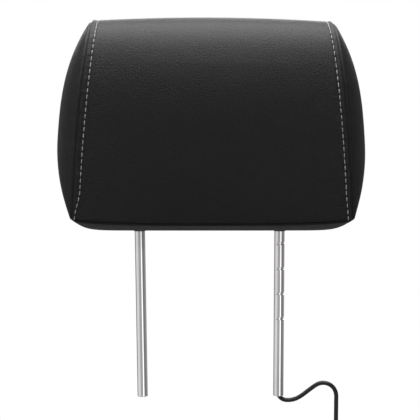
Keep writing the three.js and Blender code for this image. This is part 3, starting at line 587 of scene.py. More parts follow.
def seamHalfWidth(z):
    low, high = pillow["seamHalfLow"], pillow["seamHalfHigh"]
    share = np.maximum(0, (z - pillow["lowerSeam"]) / (pillow["top"] - pillow["lowerSeam"]))
    return low + (high - low) * share ** pillow["seamCurve"]


# How far a gusset stands out beyond its seam, for shares from its centre to points of its edge.
def gussetBulge(share, edge):
    upward = (edge[:, 2] - pillow["gussetCentre"]) / (pillow["top"] - pillow["gussetCentre"])
    low, high = pillow["gussetPowers"]
    return pillow["gussetBulge"] * (1 - share ** (low + (high - low) * np.clip((upward + 1) / 2, 0, 1)))


# One ring of a gusset, by share from its centre to its edge. Its corners get rounder inwards.
def gussetRing(edge, share):
    count = len(edge) - 1
    blur = pillow["ringRounding"] * count * (1 - np.mean(share))
    keep = np.exp(-0.5 * (2 * math.pi * np.fft.rfftfreq(count) * blur) ** 2)
    ring = []
    for axis, centre in ((1, middleDepth), (2, pillow["gussetCentre"])):
        values = np.fft.irfft(np.fft.rfft(edge[:-1, axis]) * keep, count)
        ring.append(centre + (np.append(values, values[0]) - centre) * share)
    return ring


# The front leans back towards the top: its depth behind the flat face and its slope at one height.
def shoulder(z):
    tall = pillow["top"] - pillow["shoulderStart"]
    share = min(0.9999, max(0.0, (z - pillow["shoulderStart"]) / tall))  # at 1 the slope has no end
    power = pillow["shoulderPower"]
    rest = 1 - share ** power
    depth = pillow["frontRadius"] * (1 - rest ** (1 / power))
    slope = pillow["frontRadius"] / tall * share ** (power - 1) * rest ** (1 / power - 1)
    return depth, slope


# One stop of the side profile, a distance along it: depth, height, outward normal, crown, underside or not.
def profileStop(distance):
    left = distance
    arcLow = pillow["top"] - pillow["frontRadius"]
    rearLow = pillow["top"] - pillow["rearRadius"]
    for part, length in panelLengths.items():
        if left <= length or part == "bottom":
            break
        left -= length
    t = min(1.0, left / panelLengths[part])
    rise = math.sin(t * math.pi / 2)
    if part in ("front", "frontArc"):
        if part == "front":
            z = pillow["lowerSeam"] + t * length
            crown = pillow["frontCrown"] * max(0.0, rise) ** pillow["crownPower"]
        else:
            z = arcLow + pillow["frontRadius"] * rise
            crown = pillow["frontCrown"] + (pillow["topCrown"] - pillow["frontCrown"]) * t
        depth, slope = shoulder(z)
        steep = math.hypot(1, slope)
        return (pillow["front"] + depth, z, -1 / steep, slope / steep, crown, 0)
    if part == "top":
        y = pillow["front"] + pillow["frontRadius"] + t * length
        return (y, pillow["top"], 0, 1, pillow["topCrown"], 0)
    if part == "rearArc":
        ny, nz = rise, math.cos(t * math.pi / 2)
        return (pillow["rear"] - pillow["rearRadius"] * (1 - ny), rearLow + pillow["rearRadius"] * nz,
                ny, nz, pillow["topCrown"] * (1 - t), 0)
    if part == "rear":
        return (pillow["rear"], rearLow - t * length, 1, 0, 0, 0)
    return (pillow["rear"] - t * length, pillow["lowerSeam"], 0, -1, 0, 1)


def profileStops(places):
    return np.array([profileStop(s) for s in places])


# Points of the centre band for rows of stops and shares across, from -1 at the left seam to 1.
def bandPoints(stops, across):
    y, z, ny, nz, crown, under = [stops[:, k, None] for k in range(6)]
    side = np.abs(across)
    lift = pillow["cornerRise"] * side ** 3
    swell = crown * (1 - across ** 2)
    tall = pillow["top"] - pillow["lowerSeam"]
    hollow = 1 - np.abs((y - middleDepth) / halfDepth) ** 4
    rise = pillow["lowerSeam"] + pillow["cornerRise"] - pillow["bottom"]
    lowLevel = pillow["bottom"] + rise * side ** pillow["undersideCurve"]
    underZ = (pillow["lowerSeam"] + lift) * (1 - hollow) + lowLevel * hollow
    outerZ = z + lift * np.maximum(0, 1 - (z - pillow["lowerSeam"]) / tall) ** 2
    outerZ = outerZ + nz * (swell - pillow["topCrown"])
    newZ = np.where(under > 0, underZ, outerZ)
    newY = np.where(under > 0, y + 0 * across, y + ny * swell)
    return np.stack([across * seamHalfWidth(newZ), newY, newZ], axis=-1)


# Distances from a seam, heights over the plain leather and steps, in millimetres.
seam = {
    "gap": 0.1,
    "tuckDepth": 2.4,
    "tuckReach": 2.5,
    "turnPower": 0.7,
    "tuckRows": 7,
    "topstitch": [(0, -2.4), (0.5, -1.3), (1.5, 0.2), (2.5, 0.5), (3.5, 0.45), (5.2, 0.1),
                  (6, -0.4), (7, -0.05), (8, 0.08), (10, 0)],
    "stitchLine": 6.0,
    "stitchPitch": 6.0,
    "lineShift": (1.0, 0.0),  # left and right
    "lowBend": (4.4, 1.2),
    "bendRun": 30.0,
    "holeDepth": 0.4,
    "holeRadius": 0.6,
    "puckerDepth": 0.12,
    # Each wave's length, size and turn.
    "puckerWaves": ((6.0, 0.4, 0.0), (8.7, 0.3, 1.3), (13.1, 0.5, 0.4), (22.7, 0.6, 2.1)),
    "panelPuckers": (3.5, 4),  # strongest at, fading over
    "gussetPuckers": (4, 5),
    "gussetStep": 1.6,
    "gussetRings": 14,
    "leatherThickness": 1.2,
}
nearSeam = [0, 0.5, 1, 1.5, 2, 2.5, 3, 3.5, 4, 4.5, 5, 5.5, 6, 6.5, 7, 7.5, 8, 9, 10, 12, 14.5, 18]
nearGusset = [0, 0.5, 1, 1.5, 2, 2.5, 3.2, 4, 5, 6.5, 8.5, 11, 14]


# Small puckers along a seam, strongest at one distance from it, in millimetres.
def puckerRelief(off, along, place, reach):
    waves = sum(size * np.sin(2 * math.pi * along / (length * mm) + turn)
                for length, size, turn in seam["puckerWaves"])
    return seam["puckerDepth"] * waves * np.exp(-((off / mm - place) / reach) ** 2)


# How far from the seam the stitches run, in millimetres: they close in on it at the front's lower corners.
def stitchOff(along, sideSign):
    share = np.clip(1 - along / mm / seam["bendRun"], 0, 1)
    bend = np.where(sideSign < 0, *seam["lowBend"])
    line = seam["stitchLine"] + np.where(sideSign < 0, *seam["lineShift"])
    return line - bend * share * share * (3 - 2 * share)


# Height of a topstitched edge over the plain surface, by distance from the seam and place along it.
def topstitchRelief(off, along, sideSign):
    line = stitchOff(along, sideSign)
    relief = np.interp(off / mm * seam["stitchLine"] / line, *zip(*seam["topstitch"]))
    hole = (0.5 + 0.5 * np.cos(2 * math.pi * along / (seam["stitchPitch"] * mm))) ** 3
    relief = relief - seam["holeDepth"] * hole * np.exp(-((off / mm - line) / seam["holeRadius"]) ** 2)
    return (relief + puckerRelief(off, along, *seam["panelPuckers"])) * mm


def tuckRelief(off):
    share = np.clip(off / mm / seam["tuckReach"], 0, 1)
    return -seam["tuckDepth"] * mm * (1 - share) ** 2


def unit(vectors):
    return vectors / np.maximum(np.linalg.norm(vectors, axis=-1, keepdims=True), 1e-12)


# Turns normals towards the middle direction of a seam, more the nearer they are to it.
def turnedTo(direction, normal, off):
    share = np.clip(off / mm / seam["tuckReach"], 0, 1)[..., None] ** seam["turnPower"]
    return unit(normal * share + unit(direction) * (1 - share))


# The profile's outward directions, for a grid of the shape of another.
def faceDirections(ny, nz, grid):
    return np.stack([0 * grid, ny + 0 * grid, nz + 0 * grid], axis=-1)


# Moves a grid of points by its relief. At a seam it moves along the seam's own middle direction.
def raised(points, relief, pulls):
    across = np.gradient(points, axis=1)
    along = np.gradient(points, axis=0)
    normal = unit(np.cross(across, along))
    for off, direction in pulls:
        normal = turnedTo(direction, normal, off)
    return points + normal * relief[..., None]


# A grid of faces with its vertices on the given rows of points.
def gridPiece(name, points):
    rows, columns = points.shape[:2]
    deselectAll()
    bpy.ops.mesh.primitive_grid_add(x_subdivisions=columns - 1, y_subdivisions=rows - 1, size=2)
    piece = nameLast(name)
    for vertex in piece.data.vertices:
        column = round((vertex.co.x + 1) / 2 * (columns - 1))
        row = round((vertex.co.y + 1) / 2 * (rows - 1))
        vertex.co = points[row, column]
    return piece


def sheetPiece(name, points):
    piece = gridPiece(name, points)
    bpy.ops.object.mode_set(mode="EDIT")
    bpy.ops.mesh.select_all(action="SELECT")
    bpy.ops.mesh.remove_doubles(threshold=1e-7)
    bpy.ops.object.mode_set(mode="OBJECT")
    wall = piece.modifiers.new("wall", "SOLIDIFY")
    wall.thickness = seam["leatherThickness"] * mm
    wall.offset = -1
    applyAll(piece)
    return settle(piece, 60)


# A leather panel between two places along the profile, topstitched or plain at its sides.
# Where an end has a seam of its own, it is tucked in the given direction.
def bandPanel(name, start, end, stitched, lowStart, lowEnd, rowStep=1.0, centreSteps=14):
    gap = seam["gap"] * mm
    rows = max(2, round((end - start) / (rowStep * mm)))
    edge = nearSeam[:seam["tuckRows"]]
    first = [start + gap + d * mm for d in edge] if lowStart else [start]
    last = [end - gap - d * mm for d in reversed(edge)] if lowEnd else [end]
    places = first + list(np.linspace(first[-1], last[0], rows)[1:-1]) + last
    stops = profileStops(places)
    halfWidths = seamHalfWidth(bandPoints(stops, np.ones((len(places), 1)))[:, 0, 2])[:, None]
    off = np.array([d * mm + gap for d in nearSeam])[None, :] + 0 * halfWidths
    inner = np.linspace(0, 1, centreSteps + 1)[1:][None, :]
    inward = off[:, -1:] + inner * (halfWidths - off[:, -1:])
    offAll = np.concatenate([off, inward], axis=1)
    left = -(1 - offAll / halfWidths)
    across = np.concatenate([left, -left[:, -2::-1]], axis=1)
    offset = np.concatenate([offAll, offAll[:, -2::-1]], axis=1)
    points = bandPoints(stops, across)
    along = np.array(places)[:, None] + 0 * across
    relief = topstitchRelief(offset - gap, along, np.sign(across)) if stitched else tuckRelief(offset - gap)
    face = faceDirections(stops[:, 2, None], stops[:, 3, None], across)
    outward = np.stack([np.sign(across), 0 * across, 0 * across], axis=-1)
    pulls = [(offset - gap, face + outward)]
    for low, offLow in ((lowStart, along - start - gap), (lowEnd, end - gap - along)):
        if low:
            relief = relief + tuckRelief(offLow)
            pulls.append((offLow, face + np.array(low)))
    return sheetPiece(name, raised(points, relief, pulls))


down = (0, 0, -1)
frontPanel = bandPanel("frontPanel", 0, frontEnd, True, down, None)
rearPanel = bandPanel("rearPanel", frontEnd, rearEnd, True, None, down, 1.5)
bottomPanel = bandPanel("bottomPanel", rearEnd, loopEnd, False, (0, 1, 0), (0, -1, 0), 2.0, 20)
print("centre panels are shaped")


def gussetPiece(name, sideSign):
    gap = seam["gap"] * mm
    around = int(loopEnd / (seam["gussetStep"] * mm))
    places = np.linspace(0, loopEnd, around + 1)
    stops = profileStops(places[:-1])
    edge = bandPoints(stops, sideSign * np.ones((around, 1)))[:, 0]
    edge = np.concatenate([edge, edge[:1]])
    stops = np.concatenate([stops, stops[:1]])
    ray = np.hypot(edge[:, 1] - middleDepth, edge[:, 2] - pillow["gussetCentre"])
    near = np.array(nearGusset)[::-1] * mm + gap
    nearShare = 1 - near[:, None] / ray[None, :]
    inner = np.linspace(0, 1, seam["gussetRings"])[:-1][:, None] * nearShare[:1]
    share = np.concatenate([inner, nearShare])
    rings = [gussetRing(edge, row) for row in share]
    y, z = [np.stack([ring[k] for ring in rings]) for k in (0, 1)]
    points = np.stack([sideSign * (seamHalfWidth(z) + gussetBulge(share, edge)), y, z], axis=-1)
    off = (1 - share) * ray[None, :] - gap
    along = places[None, :] + 0 * share
    relief = tuckRelief(off) + puckerRelief(off, along, *seam["gussetPuckers"]) * mm
    relief[:, -1] = relief[:, 0]
    face = faceDirections(stops[None, :, 2], stops[None, :, 3], share)
    outward = np.array([sideSign, 0.0, 0.0])
    across = np.gradient(points, axis=1)
    across[:, 0] = across[:, -1] = points[:, 1] - points[:, -2]
    normal = sideSign * unit(np.cross(across, np.gradient(points, axis=0)))
    normal[0] = outward
    normal = unit(normal * np.sign(np.sum(normal * outward, axis=-1, keepdims=True) + 1e-9))
    points = points + turnedTo(face + outward, normal, off) * relief[..., None]
    if sideSign < 0:
        points = points[:, ::-1]
    return sheetPiece(name, points)


leftGusset = gussetPiece("leftGusset", -1)
rightGusset = gussetPiece("rightGusset", 1)
print("gussets are shaped")


opening = {
    "windowHalf": 0.1096,
    "windowLow": 0.1938,
    "windowHigh": 0.3350,
    "leftSlot": -0.0719,
    "rightSlot": 0.0691,
    "slotHalfRun": 0.015,
    "slotRadius": 0.0087,
    "pocketFront": -0.0206,
    "chinHalf": 0.0996,
    "chinBack": 0.0146,
    "chinLow": 0.1,
    "windowReach": (0.04, 0.08),
    "slotReach": (0.15, 0.18),
    "foamReach": 0.2,
    "slotSegments": 12,
    "slotRounding": 0.9999,
}


def stadium(name, centre, halfRun, radius, low, high):
    return roundedBlock(
        name, (centre - halfRun - radius, -radius, low), (centre + halfRun + radius, radius, high),
        2, radius * opening["slotRounding"], opening["slotSegments"],
    )


cutWith(rearPanel, block(
    "windowTool", (-opening["windowHalf"], opening["windowReach"][0], opening["windowLow"]),
    (opening["windowHalf"], opening["windowReach"][1], opening["windowHigh"]),
))
cutWith(bottomPanel, *[stadium(
    "slotTool", opening[side], opening["slotHalfRun"], opening["slotRadius"], *opening["slotReach"],
) for side in ("leftSlot", "rightSlot")])

for piece, node in (
    (frontPanel, "front_cover"), (rearPanel, "rear_cover"), (bottomPanel, "bottom_cover"),
    (leftGusset, "left_gusset"), (rightGusset, "right_gusset"),
):
    finishPiece(piece, "headrest", "leather", [node])
print("openings are cut")


foam = {
    "inset": 3.9,
    "stops": 96,
    "columns": 25,
    "ringShares": (0, 0.4, 0.66, 0.82, 0.93),
}


def foamPiece():
    stops = profileStops(np.linspace(0, loopEnd, foam["stops"] + 1)[:-1])
    across = np.linspace(-1, 1, foam["columns"])[None, :] * np.ones((foam["stops"], 1))
    band = bandPoints(stops, across)
    sides = []
    for sideSign, column in ((-1, 0), (1, -1)):
        edge = band[:, column]
        rings = []
        for share in foam["ringShares"]:
            y, z = [values[:-1] for values in gussetRing(np.concatenate([edge, edge[:1]]), share)]
            x = sideSign * (seamHalfWidth(z) + gussetBulge(share, edge))
            rings.append(np.stack([x, y, z], axis=-1))
        sides.append(rings)
    columns = sides[0] + list(band.transpose(1, 0, 2)) + sides[1][::-1]
    grid = np.stack(columns, axis=1)
    piece = gridPiece("foamCore", np.concatenate([grid, grid[:1]]))
    outwardNormals(piece)
    normals = [vertex.normal.copy() for vertex in piece.data.vertices]
    for vertex, normal in zip(piece.data.vertices, normals):
        vertex.co -= normal * foam["inset"] * mm
    cutWith(
        piece,
        block("pocketTool", (-opening["windowHalf"], opening["pocketFront"], opening["windowLow"]),
              (opening["windowHalf"], opening["foamReach"], opening["windowHigh"])),
        block("chinTool", (-opening["chinHalf"], opening["pocketFront"], opening["chinLow"]),
              (opening["chinHalf"], opening["chinBack"], opening["foamReach"])),
    )
    return settle(piece, 50)


foamCore = finishPiece(foamPiece(), "headrest", "foam", ["foam_pad"])
print("foam core is shaped")


stitch = {
    "length": 4.1,
    "radius": 0.36,
    "lift": 0.05,
    "raised": 0.6,
    "bend": 0.9,
    "ends": [(0.45, 1), (0.85, 0.86), (1, 0.6)],  # shares of the radius and of half the length
    "sides": 8,
}


def oneStitch():
    half, radius = stitch["length"] / 2, stitch["radius"]
    profile = [(radius * r, -half * h) for r, h in stitch["ends"]]
    profile += [(radius * r, half * h) for r, h in reversed(stitch["ends"])]
    piece = turnedPiece("stitch", profile, stitch["sides"], angle=80)
    for vertex in piece.data.vertices:
        vertex.co.x -= radius * mm * stitch["bend"] * (vertex.co.z / half / mm) ** 2
    return piece


def stitchRow(name, sideSign, pattern):
    pitch = seam["stitchPitch"] * mm
    groove = float(np.interp(seam["stitchLine"], *zip(*seam["topstitch"])))
    lift = (groove + stitch["radius"] * stitch["raised"] + stitch["lift"]) * mm
    copies = []
    for i in range(int(rearEnd / pitch)):
        place = (i + 0.5) * pitch
        points = []
        for s in (place - mm, place, place + mm):
            stops = profileStops([max(0, min(s, rearEnd))])
            half = seamHalfWidth(bandPoints(stops, np.ones((1, 1)))[0, 0, 2])
            off = (float(stitchOff(s, sideSign)) + seam["gap"]) * mm
            points.append(Vector(bandPoints(stops, np.array([[sideSign * (1 - off / half)]]))[0, 0]))
        stops = profileStops([place])
        run = (points[2] - points[0]).normalized()
        out = Vector((0, stops[0, 2], stops[0, 3]))
        out = (out - run * out.dot(run)).normalized()
        copy = pattern.copy()
        copy.data = pattern.data.copy()
        bpy.context.scene.collection.objects.link(copy)
        turn = Matrix((out, run.cross(out), run)).transposed().to_4x4()
        moveMesh(copy, Matrix.Translation(points[1] + out * lift) @ turn)
        copies.append(copy)
    return joined(name, copies)


pattern = oneStitch()
for name, sideSign in (("leftStitching", -1), ("rightStitching", 1)):
    finishPiece(stitchRow(name, sideSign, pattern), "headrest", "leather", material="thread")
bpy.data.objects.remove(pattern)
print("stitching is sewn")


post = {
    "radius": 5.0,
    "bore": 4.0,
    "top": 233.4,
    "pivot": 163.4,
    "leftPlace": -68.9,
    "rightPlace": 66.1,
    "leftLean": 0.85,
    "firstNotch": 76.6,
    "notchPitch": 24.4,
    "notchCount": 4,
    "notchHeight": 1.8,
    "notchDepth": 0.8,
    "notchReach": 2.0,
    "notchFlare": 0.7,
    "flareRun": 1.1,
    "notchFacing": 36,
    "mouth": [(-0.35, 0), (-0.12, 0.06), (0, 0.3), (0, 0.6)],  # from the radius, above the lower end
    "topEdge": 0.3,
    "boreEdge": 0.2,
    "sides": 100,
}


def postTube(name, notched):
    radius, bore, top = post["radius"], post["bore"], post["top"]
    edge, boreEdge = post["topEdge"], post["boreEdge"]
    mouth = [(radius + r, z) for r, z in post["mouth"]]
    profile = mouth + [
        (radius, top - 2 * edge), (radius, top - edge), (radius - edge, top), (bore, top),
        (bore, boreEdge), (bore + boreEdge, 0), mouth[0],
    ]
    tube = turnedPiece(name, profile, post["sides"], True, 40)
    if notched:
        heights = [post["firstNotch"] + i * post["notchPitch"] for i in range(post["notchCount"])]
        cutWith(tube, *[notchTool(z) for z in heights])
        settle(tube, 40)
    return tube


# A ring beside the post's axis: the notch is deepest at the front right and runs out behind.
def notchTool(z):
    inner, outer = post["radius"], post["radius"] + post["notchReach"]
    half = post["notchHeight"] / 2
    wide = half + post["notchFlare"] * post["notchReach"] / post["flareRun"]
    profile = [(inner, z - half), (outer, z - wide), (outer, z + wide), (inner, z + half), (inner, z - half)]
    ring = turnedPiece("notchTool", profile, post["sides"], True)
    facing, depth = math.radians(post["notchFacing"]), post["notchDepth"] * mm
    return moveMesh(ring, Matrix.Translation((-depth * math.sin(facing), depth * math.cos(facing), 0)))


def standing(piece, side):
    place = Vector((post[side + "Place"], 0, post["pivot"])) * mm
    lean = -math.radians(post["leftLean"]) if side == "left" else 0.0
    turn = Matrix.Rotation(lean, 4, "Y")
    return moveMesh(piece, Matrix.Translation(place) @ turn @ Matrix.Translation((0, 0, -post["pivot"] * mm)))


collar = {
    "bore": 5.3,
    "lowRadius": 5.75,
    "topRadius": 6.6,
    "top": 163.3,
    "height": 1.6,
    "rim": 0.4,
    "boreEdge": 0.2,
    "lowEdge": 0.25,
    "topEdge": 0.15,
}
trim = {
    "face": 163.6,
    "top": 166.8,
    "radius": 8.4,
    "slotRadius": 5.4,
    "halfRun": 15.0,
    "shift": 3.0,
    "edge": 0.6,
}


def collarProfile():
    c = collar
    low, top = c["top"] - c["height"], c["top"]
    return [
        (c["bore"], top), (c["bore"], low + c["boreEdge"]), (c["bore"] + c["boreEdge"], low),
        (c["lowRadius"] - c["lowEdge"], low), (c["lowRadius"], low + c["lowEdge"]),
        (c["topRadius"], top - c["rim"]), (c["topRadius"], top - c["topEdge"]),
        (c["topRadius"] - c["topEdge"], top), (c["bore"], top),
    ]


for side, sign in (("left", -1), ("right", 1)):
    tube = standing(postTube(side + "Tube", side == "right"), side)
    finishPiece(tube, side + "_post_set", "post_steel", [side + "_post"])
    ring = standing(turnedPiece(side + "CollarRing", collarProfile(), 64, True, 40), side)
    finishPiece(ring, side + "_post_set", "trim_plastic", [side + "_collar"])
    centre = (post[side + "Place"] + sign * trim["shift"]) * mm
    plate = stadium(side + "TrimPlate", centre, trim["halfRun"] * mm, trim["radius"] * mm,
                    trim["face"] * mm, trim["top"] * mm)
    cutWith(plate, stadium("slotTool", centre, trim["halfRun"] * mm, trim["slotRadius"] * mm,
                           *opening["slotReach"]))
    bevelEdges(plate, trim["edge"] * mm, 3)
    finishPiece(settle(plate), "headrest", "trim_plastic", [side + "_slot_trim"])
print("posts and trims are in place")


bezel = {
    "halfWidth": 113.0,
    "low": 190.4,
    "high": 338.4,
    "back": 60.3,
    "front": 64.7,
    "radius": 9.0,
    "edge": 0.45,
    "windowHalf": 99.0,
    "windowLow": 213.9,
    "windowHigh": 325.9,
    "recessHalf": 103.7,
    "recessLow": 206.6,
    "recessHigh": 329.1,
    "recessFront": 63.5,
    "skirtHalf": 105.7,
    "skirtLow": 197.7,
    "skirtHigh": 331.1,
    "skirtBack": 48.3,
    "skirtWall": 2.0,
    "skirtOverlap": 0.5,
    "windowCorner": 1.0,
    "buttonRow": 203.3,
    "buttonPitch": 18.0,
    "buttonHalfWidth": 6.5,
    "buttonHalfHeight": 2.3,
    "buttonGap": 0.3,
    "buttonFront": 65.8,
    "buttonBack": 59.0,
    "buttonRounding": 0.999,
    "buttonEdge": 0.35,
    "flange": 0.8,
    "flangeThickness": 1.0,
    "glassEdge": 0.35,
    "indicatorPlace": 60.0,
    "windowRadius": 2.7,
    "lightRadius": 1.6,
    "screwHeights": (211.4, 317.4),
    "screwDepth": 50.95,
    "screwRadius": 1.8,
    "screwReach": 110.0,
    "skirtReach": 40.0,  # the depths where the cutting tools begin and end
    "windowReach": 50.0,
    "holeReach": 55.0,
    "toolEnd": 70.0,
}
keyNames = ["power", "source", "menu", "down", "up"]


# A block of the rear side in millimetres, by its half width about a place, its heights and its depths.
def rearBlock(name, place, half, heights, depths, radius=0, segments=8):
    low, high = [
        [v * mm for v in (place + sign * half, depth, height)]
        for sign, depth, height in zip((-1, 1), depths, heights)
    ]
    if not radius:
        return block(name, low, high)
    return roundedBlock(name, low, high, 1, radius * mm, segments)


# A key's block, or one that is larger by a margin all round.
def keyBlock(name, place, margin, depths):
    half, row = bezel["buttonHalfHeight"] + margin, bezel["buttonRow"]
    return rearBlock(name, place, bezel["buttonHalfWidth"] + margin, (row - half, row + half), depths,
                     half * bezel["buttonRounding"])


# A rod along Y or X, from low to high, at a place across it and a height.
def rodTool(radius, across, low, high, height, axis="Y"):
    deselectAll()
    middle = (low + high) / 2
    turn = (math.pi / 2, 0, 0) if axis == "Y" else (0, math.pi / 2, 0)
    place = (across, middle, height) if axis == "Y" else (middle, across, height)
    bpy.ops.mesh.primitive_cylinder_add(
        vertices=32, radius=radius * mm, depth=(high - low) * mm,
        location=[v * mm for v in place], rotation=turn,
    )
    return nameLast("rodTool")


def buttonPlaces():
    middle = (len(keyNames) - 1) / 2
    return [(i - middle) * bezel["buttonPitch"] for i in range(len(keyNames))]


def bezelPiece():
    b = bezel
    wall, hole = b["skirtWall"], (b["holeReach"], b["toolEnd"])
    frameRing = rearBlock("bezelFrame", 0, b["halfWidth"], (b["low"], b["high"]),
                          (b["back"], b["front"]), b["radius"], 10)
    skirt = rearBlock("skirt", 0, b["skirtHalf"], (b["skirtLow"], b["skirtHigh"]),
                      (b["skirtBack"], b["back"] + b["skirtOverlap"]))
    cutWith(skirt, rearBlock("skirtTool", 0, b["skirtHalf"] - wall,
                             (b["skirtLow"] + wall, b["skirtHigh"] - wall), (b["skirtReach"], b["toolEnd"])))
    cutWith(frameRing, skirt, operation="UNION")
    tools = [
        rearBlock("windowTool", 0, b["windowHalf"], (b["windowLow"], b["windowHigh"]),
                  (b["windowReach"], b["toolEnd"]), b["windowCorner"], 4),
        rearBlock("recessTool", 0, b["recessHalf"], (b["recessLow"], b["recessHigh"]),
                  (b["holeReach"], b["recessFront"])),
        rodTool(b["windowRadius"], b["indicatorPlace"], *hole, b["buttonRow"]),
        rodTool(b["lightRadius"], -b["indicatorPlace"], *hole, b["buttonRow"]),
    ]
    tools += [keyBlock("buttonTool", x, b["buttonGap"], hole) for x in buttonPlaces()]
    tools += [rodTool(b["screwRadius"], b["screwDepth"], -b["screwReach"], b["screwReach"], z, "X")
              for z in b["screwHeights"]]
    cutWith(frameRing, *tools)
    bevelEdges(frameRing, b["edge"] * mm, 3, 50)
    settle(frameRing)
    flat = frameRing.modifiers.new("flat faces", "WEIGHTED_NORMAL")
    flat.keep_sharp = True
    applyAll(frameRing)
    return frameRing


finishPiece(bezelPiece(), "headrest", "bezel_plastic", ["screen_bezel"])


def glassPiece():
    low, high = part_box("screen_glass")
    piece = block("screenGlass", low, high)
    bevelEdges(piece, bezel["glassEdge"] * mm, 2)
    return settle(piece)


finishPiece(glassPiece(), "headrest", "screen_glass", ["screen_glass"])


def buttonPiece(name, x):
    back = bezel["buttonBack"]
    cap = keyBlock(name, x, 0, (back, bezel["buttonFront"]))
    flange = keyBlock("flange", x, bezel["flange"], (back, back + bezel["flangeThickness"]))
    cutWith(cap, flange, operation="UNION")
    bevelEdges(cap, bezel["buttonEdge"] * mm, 3, 60)
    return settle(cap)


for key, x in zip(keyNames, buttonPlaces()):
    finishPiece(buttonPiece(key + "Key", x), key + "_key", "button_plastic", [key + "_button"])
print("screen side is in place")


# Outlines in millimetres: radius and distance below the top, or above the tip's lower end.
plug = {
    "body": [
        (3.0, 0), (3.25, 2.4), (2.75, 3.0), (3.4, 3.6), (3.6, 5.6), (3.0, 6.2), (3.75, 6.8),
        (3.95, 8.8), (3.3, 9.4), (4.0, 10), (4.2, 12), (5.3, 13.6), (5.5, 14.4), (5.5, 24.6),
        (5.25, 24.8), (5.25, 25.6), (5.5, 25.8), (5.5, 29), (5.1, 30),
    ],
    "tipRadius": 4.5,
    "tip": [(4.5, 0.3), (4.35, 0), (3.9, 0), (3.7, 0.25), (3.7, 2.5), (1.3, 2.5), (1.2, 0.8), (0.6, 0.6)],
    "sides": 40,
}


def plugPieces():
    low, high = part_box("cable_plug")
    tipLow, tipHigh = [corner.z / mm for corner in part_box("plug_tip")]
    outlines = {
        "plugBody": [(r, high.z / mm - below) for r, below in plug["body"]],
        "plugShell": [(plug["tipRadius"], tipHigh)] + [(r, tipLow + above) for r, above in plug["tip"]],
    }
    place = Matrix.Translation(((low.x + high.x) / 2, (low.y + high.y) / 2, 0))
    return [moveMesh(turnedPiece(name, outline, plug["sides"], angle=30), place)
            for name, outline in outlines.items()]


plugBody, plugShell = plugPieces()
finishPiece(plugBody, "right_post_set", "plug_rubber", ["cable_plug"])
finishPiece(plugShell, "right_post_set", "plug_metal", ["plug_tip"])


tie = {
    "wall": 1.0,
    "corner": 1.3,
    "innerCorner": 0.3,
    "edge": 0.25,
    "toolReach": 10.0,
}


def tiePiece():
    low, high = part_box("hank_tie")
    piece = roundedBlock("hankStrap", low, high, 2, tie["corner"] * mm, 6)
    inset = Vector((tie["wall"], tie["wall"], -tie["toolReach"])) * mm
    cutWith(piece, roundedBlock("strapTool", low + inset, high - inset, 2, tie["innerCorner"] * mm, 3))
    bevelEdges(piece, tie["edge"] * mm, 2)
    return settle(piece)


hankStrap = finishPiece(tiePiece(), "right_post_set", "tie_plastic", ["hank_tie"])
finishPiece(cablePiece, "right_post_set", "cable_jacket", ["cable_free", "cable_hank", "cable_tail"])
print("cable, tie and plug are in place")


studio = {
    "floorHeight": -0.21,
    "floorSize": 0.9,
    "floorTone": 0.25,
    "floorCloud": 0.02,
    "surround": 0.022,
    "skyward": 0.3,
    "behind": 0.1,
    # Level near the horizon by direction, in degrees from the camera's side towards +X.
    "horizon": [(-180, 0.25), (-118, 0.25), (-104, 0.78), (-44, 0.78), (-36, 0.42), (14, 0.42), (19, 1.5),
                (38, 1.5), (44, 0.22), (92, 0.22), (130, 0.4), (180, 0.25)],
    "horizonLow": -0.3,
    "horizonHigh": -0.09,
    "horizonFade": 0.03,
    "lights": [
        # name, place, aims at, size, power
        ("overhead", (0.0, -0.1, 1.5), (0.0, 0.0, 0.3), (1.8, 1.4), 48),
        ("frontHigh", (0.0, -1.3, 1.5), (0.0, 0.0, 0.3), (2.2, 0.9), 6),
        ("rearHigh", (0.0, 1.9, 1.2), (0.0, 0.0, 0.3), (2.4, 0.9), 18),
        ("leftBox", (-1.5, -0.4, 1.0), (0.0, 0.0, 0.3), (1.0, 1.0), 4),
        ("rearRight", (1.3, 1.3, 0.6), (0.0, 0.0, 0.2), (1.0, 1.2), 0.2),
        ("rearLeft", (-1.3, 1.3, 0.6), (0.0, 0.0, 0.2), (1.0, 1.2), 0.5),
    ],
}


def makeFloor():
    deselectAll()
    bpy.ops.mesh.primitive_plane_add(size=studio["floorSize"], location=(0, 0, studio["floorHeight"]))
    floor = settle(nameLast("floor"))
    material, tree, shader = startMaterial("paleFloor", Roughness=0.9)
    cloud = noise(tree, objectPlace(tree), 0.6, 2.0)
    dark, light = studio["floorTone"], studio["floorTone"] + studio["floorCloud"]
    connect(tree, shader, Base_Color=blendColours(tree, cloud.outputs["Fac"], (dark,) * 3, (light,) * 3))
    ray = addNode(tree, "ShaderNodeLightPath")
    glow = addNode(tree, "ShaderNodeEmission", {"Color": (1, 1, 1, 1), "Strength": 1.0})
    pale = addNode(tree, "ShaderNodeMixShader", {
        0: ray.outputs["Is Camera Ray"], 1: shader.outputs[0], 2: glow.outputs[0],
    })
    # Seen from below, the floor lets the underside show.
    clear = addNode(tree, "ShaderNodeBsdfTransparent")
    side = addNode(tree, "ShaderNodeNewGeometry")
    both = addNode(tree, "ShaderNodeMixShader", {
        0: side.outputs["Backfacing"], 1: pale.outputs[0], 2: clear.outputs[0],
    })
    connect(tree, tree.nodes["Material Output"], Surface=both.outputs[0])
    floor.data.materials.append(material)


def makeLights():
    for name, place, aim, size, power in studio["lights"]:
        bpy.ops.object.light_add(type="AREA", location=place)
        light = nameLast(name)
        light.data.shape = "RECTANGLE"
        light.data.size, light.data.size_y = size
        light.data.energy = power
        light.visible_camera = False
        light.rotation_mode = "QUATERNION"
        light.rotation_quaternion = (Vector(aim) - Vector(place)).to_track_quat("-Z", "Y")


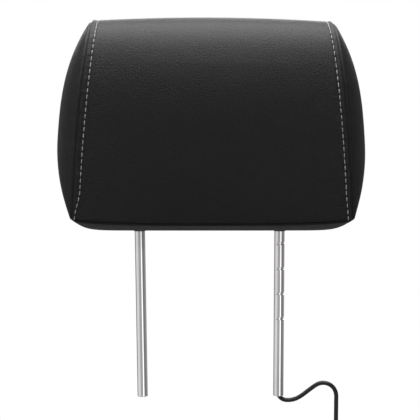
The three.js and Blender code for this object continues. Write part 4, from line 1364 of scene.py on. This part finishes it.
# White to the camera. For light and reflections it is dark in front and brighter above and behind,
# with light and dark panels along the horizon.
def makeWorld():
    world = bpy.data.worlds.new("studio")
    bpy.context.scene.world = world
    world.use_nodes = True
    tree = world.node_tree
    tree.nodes.clear()
    place = addNode(tree, "ShaderNodeTexCoord")
    axes = addNode(tree, "ShaderNodeSeparateXYZ", {0: place.outputs["Generated"]})
    up = spread(tree, axes.outputs["Z"], 0, 1, 0, studio["skyward"])
    back = spread(tree, axes.outputs["Y"], 0, 1, 0, studio["behind"])
    soft = mathNode(tree, "ADD", mathNode(tree, "ADD", up, back), studio["surround"])
    turn = mathNode(tree, "ARCTAN2", axes.outputs["X"], mathNode(tree, "MULTIPLY", axes.outputs["Y"], -1.0))
    around = addNode(tree, "ShaderNodeValToRGB", {0: spread(tree, turn, -math.pi, math.pi)})
    stops = around.color_ramp.elements
    top = max(level for _, level in studio["horizon"])
    while len(stops) < len(studio["horizon"]):
        stops.new(0.5)
    for stop, (degrees, level) in zip(stops, studio["horizon"]):
        stop.position = degrees / 360 + 0.5
        stop.color = (level / top, level / top, level / top, 1)
    panels = mathNode(tree, "MULTIPLY", around.outputs[0], top)
    fade = studio["horizonFade"]
    under = spread(tree, axes.outputs["Z"], studio["horizonHigh"], studio["horizonHigh"] + fade, 1, 0)
    over = spread(tree, axes.outputs["Z"], studio["horizonLow"] - fade, studio["horizonLow"])
    band = mathNode(tree, "MULTIPLY", under, over)
    level = addNode(tree, "ShaderNodeMix", {0: band, 2: soft, 3: panels}, data_type="FLOAT").outputs[0]
    seen = addNode(tree, "ShaderNodeBackground", {"Color": (1, 1, 1, 1), "Strength": 1.0})
    lit = addNode(tree, "ShaderNodeBackground", {"Color": (1, 1, 1, 1), "Strength": level})
    ray = addNode(tree, "ShaderNodeLightPath")
    mixed = addNode(tree, "ShaderNodeMixShader", {
        0: ray.outputs["Is Camera Ray"], 1: lit.outputs[0], 2: seen.outputs[0],
    })
    connect(tree, addNode(tree, "ShaderNodeOutputWorld"), Surface=mixed.outputs[0])
    bpy.context.scene.view_settings.view_transform = "Standard"
    bpy.context.scene.view_settings.look = "None"


makeFloor()
makeLights()
makeWorld()
print("studio is lit")
